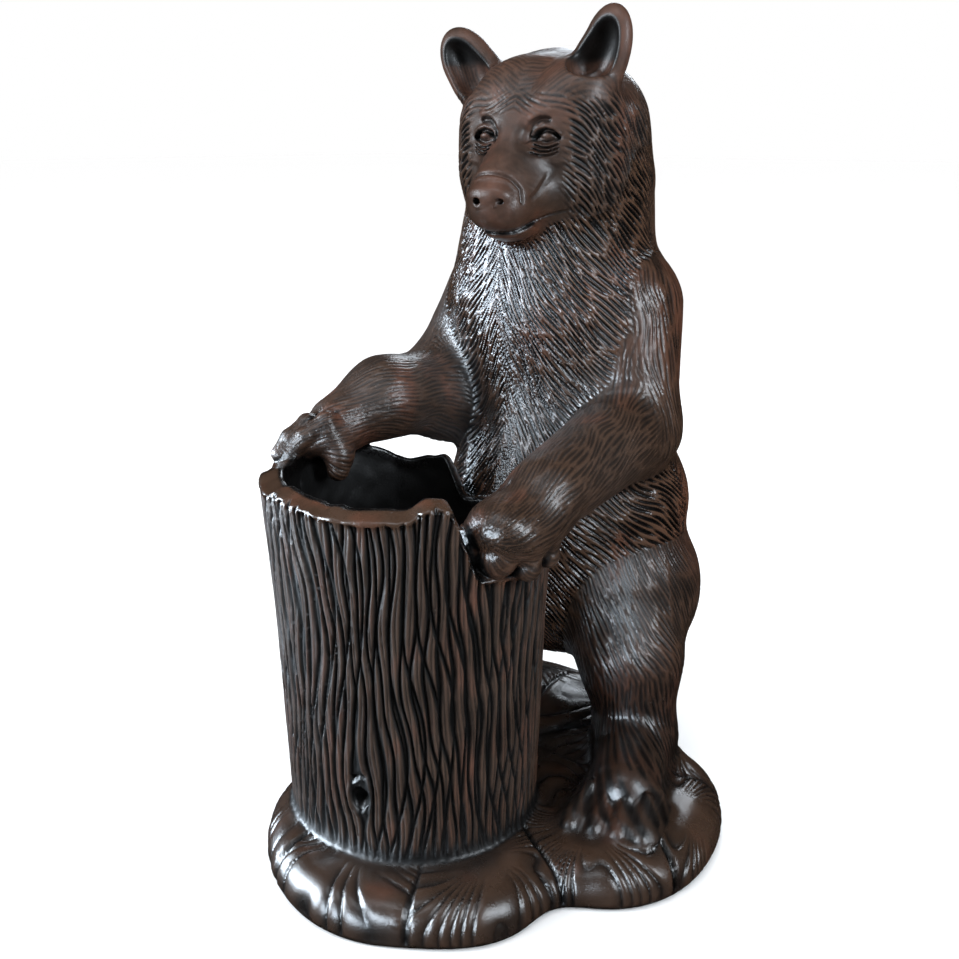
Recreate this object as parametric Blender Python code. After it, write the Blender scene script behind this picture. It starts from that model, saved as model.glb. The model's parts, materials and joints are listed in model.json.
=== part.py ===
"""A bear cub standing at a hollow tree stump, cast in one piece with the leafy mound below them.

The whole casting is one closed solid. Its form is a distance field, worked out from named body parts that melt
into each other, and the skin of that field becomes the mesh. Everything is in metres, with +Z up. The bear
faces -Y, its left side is +X, and the origin is on the ground, where the bear's belly meets the stump.
"""

import math

import bpy
import numpy as np

# Driving dimensions
BEAR_HEIGHT = 0.80      # from the ground to the ear tips
STUMP_HEIGHT = 0.385    # from the ground to the sound part of the rim
STUMP_RADIUS = 0.1275   # outside the bark, half way up
STUMP_WALL = 0.022      # bark to hollow
STUMP_FLOOR = 0.050     # bottom of the hollow above the ground
FLOOR_FILLET = 0.020    # softening between the hollow's wall and floor
RIM_DROP = 0.062        # how far the broken stretch of the rim lies below the rest
RIM_BEVEL = 0.012       # softening of the rim's outer edge
RIM_EDGE = 0.004        # softening of the rim's inner edge
BARK_FLUTES = 36        # grooves around the stump
BARK_DEPTH = 0.0032
LOCK_PITCH = 0.019      # from one lock of fur to the next
LOCK_LENGTH = 0.060
LOCK_DEPTH = 0.0030
MOUND_HEIGHT = 0.040    # ground to the mound's top beside the stump
MOUND_MARGIN = 0.020    # how far the mound reaches out past the stump
MOUND_EDGE = 0.030      # rounding of the mound's upper edge
FOOT_EDGE = 0.008       # softening of the edge round the underside
STUMP_ROOT = 0.012      # softening between stump and mound
LEAF_PITCH = 0.013      # from one ridge of the mound's leaves to the next
LEAF_DEPTH = 0.0025
CELL = 0.0040           # spacing of the points at which the field is sampled
TRIANGLES = 9400        # facets of the finished solid

# The figure is laid out in 800ths of its height, with its own axis behind the stump
UNIT = BEAR_HEIGHT / 800.0
BEAR_Y = 120.0 * UNIT
STUMP_X = 0.016 * STUMP_RADIUS
STUMP_Y = -0.992 * STUMP_RADIUS
HEAD_AT = (0.0, -23.0, 683.0)
HEAD_TURN = math.radians(10.0)


def place(x, y, z):
    """A point of the figure, given in its units from the foot of its axis, in metres."""
    return np.array((x * UNIT, y * UNIT + BEAR_Y, z * UNIT), dtype=np.float32)


def on_mound(x, y, z):
    """A point of the figure whose height counts from the mound's top."""
    return place(x, y, 0.0) + np.array((0.0, 0.0, MOUND_HEIGHT + z * UNIT), dtype=np.float32)


def column(values):
    return np.asarray(values, dtype=np.float32).reshape(3, 1)


def length(q):
    return np.sqrt(q[0] * q[0] + q[1] * q[1] + q[2] * q[2])


def turn(about_x=0.0, about_y=0.0, about_z=0.0):
    """Rotation matrix from three angles in degrees, applied about X, then Y, then Z."""
    a, b, c = (math.radians(v) for v in (about_x, about_y, about_z))
    rx = np.array(((1, 0, 0), (0, math.cos(a), -math.sin(a)), (0, math.sin(a), math.cos(a))))
    ry = np.array(((math.cos(b), 0, math.sin(b)), (0, 1, 0), (-math.sin(b), 0, math.cos(b))))
    rz = np.array(((math.cos(c), -math.sin(c), 0), (math.sin(c), math.cos(c), 0), (0, 0, 1)))
    return (rz @ ry @ rx).astype(np.float32)


def smooth_step(low, high, value):
    t = np.clip((value - low) / (high - low), 0.0, 1.0)
    return t * t * (3.0 - 2.0 * t)


def melt(a, b, width):
    """Union of two forms, with a fillet about as wide as width."""
    h = np.maximum(width - np.abs(a - b), 0.0) / width
    return np.minimum(a, b) - h * h * width * 0.25


def cut(a, b, width):
    """Form a less form b, with an edge softened over width."""
    return -melt(-a, b, width)


def ellipsoid(p, centre, radii, pose=None):
    q = p - column(centre)
    if pose is not None:
        q = pose.T @ q
    r = column(radii)
    k0 = length(q / r)
    k1 = length(q / (r * r))
    return k0 * (k0 - 1.0) / np.maximum(k1, 1e-6)


def limb(p, start, end, start_radius, end_radius):
    """A round bar from start to end, whose radius changes evenly."""
    a, axis = column(start), column(end) - column(start)
    q = p - a
    t = np.clip((q * axis).sum(axis=0) / float((axis * axis).sum()), 0.0, 1.0)
    return length(q - axis * t) - (start_radius + (end_radius - start_radius) * t)


def stroke(p, points, width, depth):
    """Depth of a carved line that follows points, at each place in p."""
    nearest = np.full(p.shape[1], 1e3, dtype=np.float32)
    for start, end in zip(points[:-1], points[1:]):
        nearest = np.minimum(nearest, limb(p, start, end, 0.0, 0.0))
    t = np.clip(1.0 - (nearest / width) ** 2, 0.0, 1.0)
    return depth * t * t


def torso(p):
    body = ellipsoid(p, place(0, 8, 206), (112 * UNIT, 108 * UNIT, 93 * UNIT))
    body = melt(body, ellipsoid(p, place(0, -2, 305), (124 * UNIT, 117 * UNIT, 114 * UNIT)), 50 * UNIT)
    body = melt(body, ellipsoid(p, place(0, 2, 425), (112 * UNIT, 100 * UNIT, 105 * UNIT)), 50 * UNIT)
    body = melt(body, ellipsoid(p, place(-4, 8, 508), (112 * UNIT, 80 * UNIT, 62 * UNIT)), 50 * UNIT)
    for side in (-1, 1):
        hip = ellipsoid(p, place(side * 50, 14, 300), (88 * UNIT, 88 * UNIT, 84 * UNIT))
        body = melt(body, hip, 20 * UNIT)
    neck = limb(p, place(-14, -6, 520), place(-2, -9, 632), 108 * UNIT, 93 * UNIT)
    tail = ellipsoid(p, place(0, 112, 176), (20 * UNIT, 20 * UNIT, 28 * UNIT), turn(about_x=20))
    return melt(melt(body, neck, 40 * UNIT), tail, 20 * UNIT)


def fingers(p, back, reach, first, pitch, length_out, drop, thick):
    """A paw's back with four fingers fanned out from reach, each bent down at its tip."""
    for n in range(4):
        angle = math.radians(first + pitch * n)
        out = np.array((math.cos(angle), math.sin(angle), 0.0))
        knuckle = reach + out * (0.55 * length_out)
        tip = reach + out * length_out - np.array((0.0, 0.0, drop))
        back = melt(back, limb(p, knuckle, tip, thick, 0.85 * thick), 4 * UNIT)
    return back


def left_arm(p):
    """The arm on the open side: its forearm comes forward and the paw lies over the broken rim."""
    shoulder = place(68, 8, 512)
    elbow = place(95, -12, 390)
    low_rim = STUMP_HEIGHT - RIM_DROP
    wrist = np.array((STUMP_X + STUMP_RADIUS, STUMP_Y + 0.026, low_rim + 0.052))
    reach = np.array((STUMP_X + STUMP_RADIUS - 0.002, STUMP_Y - 0.022, low_rim + 0.034))
    arm = melt(limb(p, shoulder, elbow, 58 * UNIT, 45 * UNIT),
               limb(p, elbow, wrist, 46 * UNIT, 39 * UNIT), 12 * UNIT)
    paw = ellipsoid(p, reach, (40 * UNIT, 46 * UNIT, 31 * UNIT), turn(about_x=-10))
    paw = fingers(p, paw, reach, -100.0, 33.0, 40 * UNIT, 18 * UNIT, 14.5 * UNIT)
    return melt(arm, paw, 14 * UNIT)


def right_arm(p):
    """The far arm: it reaches along the stump's side and holds the sound rim."""
    shoulder = place(-86, 2, 516)
    elbow = place(-106, -66, 412)
    middle = place(-99, -177, 424)
    wrist = np.array((STUMP_X - 0.87 * STUMP_RADIUS, STUMP_Y + 0.004, STUMP_HEIGHT + 0.018))
    reach = np.array((STUMP_X - 0.85 * STUMP_RADIUS, STUMP_Y - 0.040, STUMP_HEIGHT + 0.002))
    arm = melt(limb(p, shoulder, elbow, 60 * UNIT, 54 * UNIT),
               limb(p, elbow, middle, 54 * UNIT, 38 * UNIT), 10 * UNIT)
    arm = melt(arm, limb(p, middle, wrist, 39 * UNIT, 34 * UNIT), 10 * UNIT)
    paw = ellipsoid(p, reach, (34 * UNIT, 40 * UNIT, 28 * UNIT))
    paw = fingers(p, paw, reach, 180.0, 32.0, 34 * UNIT, 16 * UNIT, 13 * UNIT)
    return melt(arm, paw, 12 * UNIT)


def leg(p, side):
    """One hind leg, with the thigh out to the side, the knee forward and the foot turned out."""
    s = side
    thigh = ellipsoid(p, place(s * 84, 10, 202), (74 * UNIT, 92 * UNIT, 94 * UNIT), turn(about_x=-12))
    knee = ellipsoid(p, place(s * 118, -34, 150), (52 * UNIT, 60 * UNIT, 60 * UNIT))
    shin = limb(p, place(s * 121, -34, 140), on_mound(s * 131, -40, 26), 50 * UNIT, 42 * UNIT)
    foot = limb(p, on_mound(s * 132, -40, 18), on_mound(s * 178, -132, 16), 42 * UNIT, 34 * UNIT)
    whole = melt(melt(thigh, knee, 24 * UNIT), melt(shin, foot, 20 * UNIT), 16 * UNIT)
    for n in range(4):
        spread = n - 1.5
        root = on_mound(s * (180 + 17 * spread), -138 + 3 * abs(spread), 16)
        tip = on_mound(s * (192 + 20 * spread), -172 + 5 * abs(spread), 10)
        whole = melt(whole, limb(p, root, tip, 15 * UNIT, 13 * UNIT), 5 * UNIT)
    return whole


def head(p):
    """The head, in its own axes: the face looks along -Y there, and all but the ears is alike on both sides."""
    pose = turn(about_z=math.degrees(HEAD_TURN))
    whole = pose.T @ (p - column(place(*HEAD_AT))) / UNIT
    q = whole.copy()
    q[0] = np.abs(q[0])
    skull = ellipsoid(q, (0, 6, 2), (88, 94, 76))
    skull = melt(skull, ellipsoid(q, (45, -40, -2), (34, 42, 52)), 24)
    skull = melt(skull, ellipsoid(q, (40, -34, -46), (42, 46, 42)), 24)
    skull = melt(skull, ellipsoid(q, (27, -62, 30), (27, 27, 30)), 10)
    muzzle = ellipsoid(q, (0, -96, -62), (36, 50, 33))
    muzzle = melt(muzzle, limb(q, (0, -66, 4), (0, -132, -46), 21, 15), 12)
    muzzle = melt(muzzle, ellipsoid(q, (0, -126, -72), (27, 23, 21)), 10)
    skull = melt(skull, muzzle, 12)
    jaw = ellipsoid(q, (0, -90, -92), (27, 38, 16), turn(about_x=6))
    skull = melt(skull, jaw, 4)
    nose = ellipsoid(q, (0, -138, -54), (23, 15, 14), turn(about_x=-12))
    skull = melt(skull, nose, 3)
    skull = cut(skull, ellipsoid(q, (10, -154, -57), (6, 8, 5)), 2)
    skull = cut(skull, ellipsoid(q, (32, -97, -2), (19, 15, 12)), 8)
    eye = ellipsoid(q, (32, -81, -3), (13, 13, 10))
    skull = melt(skull, eye, 2)
    lips = stroke(q, ((0, -146, -90), (16, -134, -93), (31, -104, -84), (42, -78, -72)), 5.0, 4.0)
    skull = skull + lips
    for side, at, tip_out in ((1, (65, -38, 70), 20), (-1, (75, -38, 59), 36)):
        r = whole * column((side, 1, 1))
        tilt = turn(about_y=tip_out, about_z=-14)
        skull = melt(skull, ellipsoid(r, at, (29, 17, 42), tilt), 8)
        cup = (at[0] - 2, at[1] - 20, at[2] + 2)
        skull = cut(skull, ellipsoid(r, cup, (21, 25, 33), tilt), 3)
    return skull * UNIT


def scatter(number, seed):
    """A steady, random-looking share from 0 to 1 for each whole number."""
    value = np.sin(number * 12.9898 + seed * 78.233) * 43758.547
    return value - np.floor(value)


def locks(across, along):
    """Height of a coat of pointed locks, from 0 in the partings to 1 on the crests."""
    row = across / LOCK_PITCH + 0.25 * np.sin(along / LOCK_LENGTH * 5.0 + across / LOCK_PITCH * 0.7)
    lane = np.floor(row)
    u = np.abs(row - lane - 0.5) * 2.0
    v = along / LOCK_LENGTH + scatter(lane, 1.0)
    v = v - np.floor(v)
    width = 1.0 - 0.45 * v
    crest = np.clip(1.0 - (u / width) ** 2, 0.0, 1.0)
    return crest * (0.35 + 0.65 * np.maximum(np.sin(math.pi * v), 0.0) ** 0.6)


def torso_coat(p):
    """Chevrons that fall away from the breastbone, and from the spine behind."""
    x, y, z = p[0], p[1] - BEAR_Y, p[2]
    bend = np.abs(np.arctan2(x, -y))
    girth = 115 * UNIT
    front = locks(0.78 * girth * bend + 0.62 * z, 0.62 * girth * bend - 0.78 * z)
    back = locks(0.9 * girth * (math.pi - bend) + 0.4 * z, 0.4 * girth * (math.pi - bend) - 0.9 * z)
    behind = smooth_step(1.5, 1.9, bend)
    return front * (1.0 - behind) + back * behind


def limb_coat(p, start, end, radius, twist):
    """Locks along a limb, turning about it by twist."""
    axis = np.asarray(end, dtype=np.float64) - np.asarray(start, dtype=np.float64)
    reach = float(np.sqrt((axis * axis).sum()))
    axis = axis / reach
    side = np.cross(axis, (0.0, 0.0, 1.0) if abs(axis[2]) < 0.8 else (0.0, -1.0, 0.0))
    side = side / np.sqrt((side * side).sum())
    up = np.cross(side, axis)
    q = p - column(start)
    along = (q * column(axis)).sum(axis=0)
    bend = np.arctan2((q * column(side)).sum(axis=0), (q * column(up)).sum(axis=0))
    return locks(radius * bend + twist * along, along)


def thigh_coat(p, side):
    """Locks that run forward and down over the thigh and shin."""
    x, y, z = p[0] * side, p[1] - BEAR_Y, p[2]
    return locks(0.85 * y - 0.5 * z + 0.3 * x, -0.5 * y - 0.85 * z)


def head_coat(p):
    """Locks that spread back from the face over the brow and cheeks; the muzzle and the ears stay smooth."""
    pose = turn(about_z=math.degrees(HEAD_TURN))
    q = pose.T @ (p - column(place(*HEAD_AT))) / UNIT
    spread = np.arctan2(np.abs(q[0]), q[2] + 10.0)
    back = q[1] * UNIT
    height = locks(0.085 * spread + 0.35 * back, back)
    bare = smooth_step(-58.0, -84.0, q[1])
    bare = np.maximum(bare, smooth_step(62.0, 74.0, q[2]))
    return height * (1.0 - bare) + 0.6 * bare


def bear(p):
    parts = [
        (torso(p), torso_coat(p), 0.0),
        (left_arm(p), limb_coat(p, place(70, 4, 487), place(120, -200, 370), 50 * UNIT, 0.3), 16 * UNIT),
        (right_arm(p), limb_coat(p, place(-88, 4, 496), place(-112, -240, 400), 50 * UNIT, -0.3), 16 * UNIT),
        (leg(p, 1.0), thigh_coat(p, 1.0), 18 * UNIT),
        (leg(p, -1.0), thigh_coat(p, -1.0), 18 * UNIT),
        (head(p), head_coat(p), 14 * UNIT),
    ]
    nearest = np.minimum.reduce([part for part, coat, width in parts])
    body, shares, coats = None, 0.0, 0.0
    for part, coat, width in parts:
        body = part if body is None else melt(body, part, width)
        share = np.exp((nearest - part) / (6 * UNIT))
        shares = shares + share
        coats = coats + share * coat
    return body - LOCK_DEPTH * (coats / shares - 0.6)


def bark(angle, rise):
    """Height of the bark: wavy upright ridges that part and close again, with sharp grooves between them."""
    drift = 0.9 * np.sin(3.5 * rise + 2.0 * angle) + 0.5 * np.sin(8.9 * rise - 3.0 * angle + 1.0)
    drift = drift + 0.35 * np.sin(15.8 * rise + 5.0 * angle)
    ridge = np.abs(np.sin(0.5 * (BARK_FLUTES * angle + drift * 1.6)))
    return BARK_DEPTH * (np.sqrt(ridge) - 0.75)


def between(angle, start, end, slope):
    """1 where the angle lies from start to end, in degrees, falling to 0 over slope degrees outside."""
    rise = smooth_step(math.radians(start - slope), math.radians(start), angle)
    return rise * smooth_step(math.radians(end + slope), math.radians(end), angle)


def stump(p):
    """The hollow stump: flared at its foot, with a rim that is broken down where the near paw lies."""
    x, y, z = p[0] - STUMP_X, p[1] - STUMP_Y, p[2]
    angle = np.arctan2(y, x)
    radius = np.hypot(x, y)
    rise = z / STUMP_HEIGHT
    flare = 0.09 * (rise - 0.54) + 0.035 * smooth_step(0.6, 1.05, rise)
    outside = STUMP_RADIUS * (1.0 + flare + 0.012 * np.cos(3.0 * angle + 1.0))
    broken = between(angle, -22.0, 104.0, 11.0)
    worn = between(angle, 106.0, 133.0, 38.0) * (1.0 - broken)
    peak = np.exp(-((angle + math.radians(38.0)) / math.radians(7.5)) ** 2)
    rim = STUMP_HEIGHT - RIM_DROP * broken - 0.37 * RIM_DROP * worn + 0.16 * RIM_DROP * peak
    rim = rim + 0.03 * RIM_DROP * np.sin(7.0 * angle + 2.0 * np.sin(3.0 * angle))
    outside = outside + bark(angle, rise)
    solid = cut(radius - outside, rim - z, RIM_BEVEL)
    hollow = cut(radius - (outside - STUMP_WALL), z - STUMP_FLOOR, FLOOR_FILLET)
    return cut(solid, hollow, RIM_EDGE)


def mound(p):
    """The mound: rounded lobes around the stump and under each foot, carved with leaves, flat below."""
    x, y, z = p[0], p[1], p[2]
    over_x, over_y = (x - STUMP_X) / STUMP_RADIUS, (y - STUMP_Y) / STUMP_RADIUS
    plan = STUMP_RADIUS * (np.hypot(over_x - 0.09, over_y + 0.10) - 1.0) - MOUND_MARGIN
    for lobe_x, lobe_y, reach in ((0.36, -0.52, 0.79), (0.92, -0.42, 0.40)):
        plan = melt(plan, STUMP_RADIUS * (np.hypot(over_x - lobe_x, over_y - lobe_y) - reach), MOUND_MARGIN)
    near_side = ((172, -162, 93), (152, -70, 79), (56, 2, 88), (70, -108, 66))
    far_side = ((-166, -156, 84), (-144, -68, 76), (-56, 2, 88), (-70, -108, 66))
    for lobe_x, lobe_y, reach in near_side + far_side:
        along = y - BEAR_Y - lobe_y * UNIT
        plan = melt(plan, np.hypot(x - lobe_x * UNIT, along) - reach * UNIT, MOUND_MARGIN)
    over = z - MOUND_HEIGHT + MOUND_EDGE
    inset = plan + MOUND_EDGE
    solid = np.hypot(np.maximum(inset, 0.0), np.maximum(over, 0.0)) + np.minimum(np.maximum(inset, over), 0.0)
    hump = ellipsoid(p, on_mound(0, -26, -26), (104 * UNIT, 96 * UNIT, 56 * UNIT))
    solid = melt(solid - MOUND_EDGE, hump, MOUND_EDGE)
    sweep = STUMP_RADIUS * np.arctan2(over_y, over_x)
    leaves = np.abs(np.sin(math.pi * (sweep + 0.35 * plan + 0.3 * z) / LEAF_PITCH))
    shown = smooth_step(0.2 * MOUND_HEIGHT, 0.45 * MOUND_HEIGHT, z)
    return solid - LEAF_DEPTH * shown * (np.sqrt(leaves) - 0.7)


def casting(p):
    whole = melt(stump(p), mound(p), STUMP_ROOT)
    whole = melt(whole, bear(p), 8 * UNIT)
    return cut(whole, p[2], FOOT_EDGE)


def sample(field, points):
    """Field values at points, worked out a block at a time."""
    values = np.empty(points.shape[1], dtype=np.float32)
    block = 400_000
    for start in range(0, points.shape[1], block):
        values[start:start + block] = field(points[:, start:start + block])
    return values


def sampled_grid(field, low, high, cell):
    """Values of the field on a grid: exact near the surface, and a rough value of the right sign elsewhere."""
    coarse = 4
    blocks = [int(math.ceil((h - l) / (cell * coarse))) for l, h in zip(low, high)]
    axes = [l + cell * coarse * np.arange(n + 1) for l, n in zip(low, blocks)]
    centres = [a[:-1] + cell * (coarse - 1) / 2.0 for a in axes]
    mesh = np.meshgrid(*centres, indexing="ij")
    rough = sample(field, np.stack([m.ravel() for m in mesh]).astype(np.float32))
    rough = rough.reshape([len(c) for c in centres])
    values = rough
    for axis in range(3):
        values = np.repeat(values, coarse, axis=axis)
    near = np.abs(values) < cell * coarse * 1.6
    index = np.nonzero(near)
    points = np.stack([l + cell * i for l, i in zip(low, index)]).astype(np.float32)
    values[index] = sample(field, points)
    return values


def cell_tables():
    """For each pattern of inside corners in a cell: is the surface one plain sheet, and which flips make it so."""
    corners = [(i, j, k) for i in (0, 1) for j in (0, 1) for k in (0, 1)]
    near = [[b for b in range(8) if sum(abs(u - v) for u, v in zip(corners[a], corners[b])) == 1] for a in range(8)]
    faces = [[n for n in range(8) if corners[n][axis] == end] for axis in range(3) for end in (0, 1)]

    def pieces(members):
        left, count = set(members), 0
        while left:
            count += 1
            front = [left.pop()]
            while front:
                linked = [b for b in near[front.pop()] if b in left]
                left.difference_update(linked)
                front.extend(linked)
        return count

    plain = np.zeros(256, dtype=bool)
    for code in range(256):
        inner = [n for n in range(8) if code >> n & 1]
        outer = [n for n in range(8) if not code >> n & 1]
        one_sheet = pieces(inner) <= 1 and pieces(outer) <= 1
        split = any(pieces([n for n in face if n in inner]) == 2 for face in faces)
        plain[code] = one_sheet and not split
    flips = np.array([[plain[code ^ (1 << n)] for n in range(8)] for code in range(256)])
    return corners, plain, flips


def separate_sheets(values):
    """Fill in grid points until no cell holds two sheets of the surface, so the skin never touches itself."""
    corners, plain, flips = cell_tables()
    shape = values.shape
    strides = np.array((shape[1] * shape[2], shape[2], 1))
    offsets = np.array([np.dot(c, strides) for c in corners])
    flat = values.ravel()
    for _ in range(60):
        inside = values < 0.0
        windows = [inside[i:shape[0] - 1 + i, j:shape[1] - 1 + j, k:shape[2] - 1 + k] for i, j, k in corners]
        some, every = windows[0].copy(), windows[0].copy()
        for window in windows[1:]:
            some |= window
            every &= window
        cells = np.stack(np.nonzero(some & ~every), axis=1) @ strides
        around = cells[:, None] + offsets
        code = ((flat[around] < 0.0) << np.arange(8)).sum(axis=1)
        bad = ~plain[code]
        if not bad.any():
            break
        around, code = around[bad], code[bad]
        filled = flat[around] < 0.0
        cost = np.abs(flat[around]) + np.where(flips[code], 0.0, 1.0) + np.where(filled, 10.0, 0.0)
        chosen = np.unique(around[np.arange(len(code)), cost.argmin(axis=1)])
        flat[chosen] = -1e-6
    return flat.reshape(shape)


def skin(field, low, high, cell):
    """Vertices and quads of the field's zero surface, with one vertex in each cell that the surface crosses."""
    values = separate_sheets(sampled_grid(field, low, high, cell))
    inside = values < 0.0
    strides = np.array((values.shape[1] * values.shape[2], values.shape[2], 1))
    cells, sums, quads = [], [], []
    for axis in range(3):
        first = [slice(None)] * 3
        second = [slice(None)] * 3
        first[axis], second[axis] = slice(0, -1), slice(1, None)
        crossed = np.nonzero(inside[tuple(first)] != inside[tuple(second)])
        at = np.stack(crossed, axis=1)
        flat = at @ strides
        start, end = values.ravel()[flat], values.ravel()[flat + strides[axis]]
        where = at.astype(np.float64)
        where[:, axis] += start / (start - end)
        u, v = (axis + 1) % 3, (axis + 2) % 3
        ring = [flat - strides[u] * a - strides[v] * b for a, b in ((0, 0), (1, 0), (1, 1), (0, 1))]
        for corner in ring:
            cells.append(corner)
            sums.append(where)
        quad = np.stack(ring, axis=1)
        quads.append(np.where((start < 0.0)[:, None], quad, quad[:, ::-1]))
    cells = np.concatenate(cells)
    sums = np.concatenate(sums)
    names, numbers = np.unique(cells, return_inverse=True)
    count = np.bincount(numbers)
    corners = np.stack([np.bincount(numbers, weights=sums[:, i]) / count for i in range(3)], axis=1)
    vertices = corners * cell + np.array(low)
    faces = np.searchsorted(names, np.concatenate(quads))
    return vertices, faces


def settle(field, vertices, cell):
    """Vertices moved onto the field's surface along its slope."""
    p = vertices.T.astype(np.float32)
    step = 0.25 * cell
    for _ in range(2):
        value = sample(field, p)
        slope = np.stack([
            sample(field, p + column(np.eye(3)[i] * step)) - sample(field, p - column(np.eye(3)[i] * step))
            for i in range(3)
        ]) / (2.0 * step)
        shift = value * slope / np.maximum((slope * slope).sum(axis=0), 0.25)
        size = np.maximum(length(shift), 1e-9)
        p = p - shift * np.minimum(1.0, 0.4 * cell / size)
    return p.T


def bronze_resin():
    """Dark brown cast resin under a clear gloss."""
    material = bpy.data.materials.new("dark_brown_resin")
    material.use_nodes = True
    shader = material.node_tree.nodes["Principled BSDF"]
    shader.inputs["Base Color"].default_value = (0.050, 0.026, 0.017, 1.0)
    shader.inputs["Roughness"].default_value = 0.30
    shader.inputs["Metallic"].default_value = 0.0
    return material


def make_object(name, vertices, faces, material):
    mesh = bpy.data.meshes.new(name)
    mesh.from_pydata(vertices.tolist(), [], faces.tolist())
    mesh.materials.append(material)
    mesh.shade_smooth()
    thing = bpy.data.objects.new(name, mesh)
    bpy.context.scene.collection.objects.link(thing)
    return thing


def main():
    for old in list(bpy.data.objects):
        bpy.data.objects.remove(old, do_unlink=True)
    margin = 6 * CELL
    side = max(300 * UNIT, 1.4 * STUMP_RADIUS + MOUND_MARGIN) + margin
    front = max(1.4 * STUMP_RADIUS, 270 * UNIT - BEAR_Y + STUMP_Y) + MOUND_MARGIN + margin
    low = (-side, STUMP_Y - front, -margin)
    high = (side, BEAR_Y + 160 * UNIT + margin, max(BEAR_HEIGHT, STUMP_HEIGHT + RIM_DROP) + margin)
    vertices, faces = skin(casting, low, high, CELL)
    vertices = settle(casting, vertices, CELL)
    statue = make_object("bear_statue", vertices, faces, bronze_resin())
    facets = statue.modifiers.new("facets", "DECIMATE")
    facets.ratio = TRIANGLES / (2.0 * len(faces))


main()
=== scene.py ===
"""The looks of the bear casting: its carving, its glossy dark resin, the floor, the lights and the camera.

The form repeats the solid's distance field, with a finer face, paws and stump, as one closed skin. The
carving of fur, bark and leaves lifts or sinks that skin along its normals, and the skin is then parted into
pieces.
Everything is in metres, with +Z up; the bear faces -Y, its left side is +X.
"""

import json
import math
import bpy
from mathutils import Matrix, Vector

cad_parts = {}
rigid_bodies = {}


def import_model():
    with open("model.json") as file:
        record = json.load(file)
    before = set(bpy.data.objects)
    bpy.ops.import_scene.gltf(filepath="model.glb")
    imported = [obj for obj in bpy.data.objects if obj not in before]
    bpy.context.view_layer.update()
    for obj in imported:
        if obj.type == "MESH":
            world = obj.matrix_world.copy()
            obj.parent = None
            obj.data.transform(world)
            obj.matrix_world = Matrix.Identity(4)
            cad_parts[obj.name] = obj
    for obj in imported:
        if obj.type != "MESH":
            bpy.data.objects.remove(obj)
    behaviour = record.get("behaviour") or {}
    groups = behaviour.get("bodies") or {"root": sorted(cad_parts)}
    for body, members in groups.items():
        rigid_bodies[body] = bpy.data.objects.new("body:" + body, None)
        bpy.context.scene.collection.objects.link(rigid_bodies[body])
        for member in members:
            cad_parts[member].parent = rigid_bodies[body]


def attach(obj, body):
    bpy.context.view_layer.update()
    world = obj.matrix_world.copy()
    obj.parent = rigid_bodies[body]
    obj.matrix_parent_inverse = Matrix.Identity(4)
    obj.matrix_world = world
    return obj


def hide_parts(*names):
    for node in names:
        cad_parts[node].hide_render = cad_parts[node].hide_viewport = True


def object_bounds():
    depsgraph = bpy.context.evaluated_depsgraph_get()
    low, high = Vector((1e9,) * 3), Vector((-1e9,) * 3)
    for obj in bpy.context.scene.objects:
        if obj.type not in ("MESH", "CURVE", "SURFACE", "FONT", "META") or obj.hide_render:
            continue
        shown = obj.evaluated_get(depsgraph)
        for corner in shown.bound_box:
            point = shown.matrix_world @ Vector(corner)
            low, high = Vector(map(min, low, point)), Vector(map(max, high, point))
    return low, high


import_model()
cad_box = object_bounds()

from concurrent.futures import ThreadPoolExecutor

import bpy
import numpy as np
from mathutils import Vector

# Dimensions of the solid
BEAR_HEIGHT = 0.80      # from the ground to the ear tips
STUMP_HEIGHT = 0.385    # from the ground to the sound part of the rim
STUMP_RADIUS = 0.1275   # outside the bark, half way up
STUMP_WALL = 0.022      # bark to hollow
STUMP_FLOOR = 0.050     # bottom of the hollow above the ground
FLOOR_FILLET = 0.020    # softening between the hollow's wall and floor
RIM_DROP = 0.062        # how far the broken stretch of the rim lies below the rest
RIM_BEVEL = 0.012       # softening of the rim's outer edge
RIM_EDGE = 0.004        # softening of the rim's inner edge
MOUND_HEIGHT = 0.040    # ground to the mound's top beside the stump
MOUND_MARGIN = 0.020    # how far the mound reaches out past the stump
LOBE_MELT = 0.048       # softening where the mound's lobes meet
MOUND_EDGE = 0.030      # rounding of the mound's upper edge
FOOT_EDGE = 0.008       # softening of the edge round the underside
STUMP_ROOT = 0.012      # softening between stump and mound

# Sizes of the carving
FUR_PITCH = 0.0044      # from one strand of fur to the next
FUR_LENGTH = 0.044
FUR_DEPTH = 0.0026
BARK_DEPTH = 0.0034
BARK_FLUTES = 74        # grooves around the stump in the main family
BARK_SPLITS = 51        # grooves in the family that crosses them
RIM_SLOPE = 0.36        # how steeply the rim falls outward
RIM_BAND = 0.0075       # smooth band from the rim's top down to the first bark
RIM_STEP = 0.0030       # how far the band stands out from the bark
KNOT_ANGLE = math.radians(-71.0)
KNOT_HEIGHT = 0.105
KNOT_SIZE = (0.0075, 0.0105)
LEAF_DEPTH = 0.0048

# The figure is laid out in 800ths of its height, with its own axis behind the stump
UNIT = BEAR_HEIGHT / 800.0
BEAR_Y = 120.0 * UNIT
STUMP_X = 0.016 * STUMP_RADIUS
STUMP_Y = -0.992 * STUMP_RADIUS
HEAD_AT = (0.0, -23.0, 683.0)
HEAD_TURN = math.radians(10.0)
LOW_RIM = STUMP_HEIGHT - RIM_DROP

# Fineness of the mesh
CELL = 0.0012
TRIANGLES = 900_000
GUARD = 0.025           # forms further off than this are left out of the sum
COAT_BLEND = 0.0012     # how softly one region's carving gives way to the next one's
# The painted shade in crevices looks this far out from the skin.
CREVICE_SHADE_REACH = 0.012   # how far out from the skin a crevice is looked for
BLOCK = 65_536          # points worked out together


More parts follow.
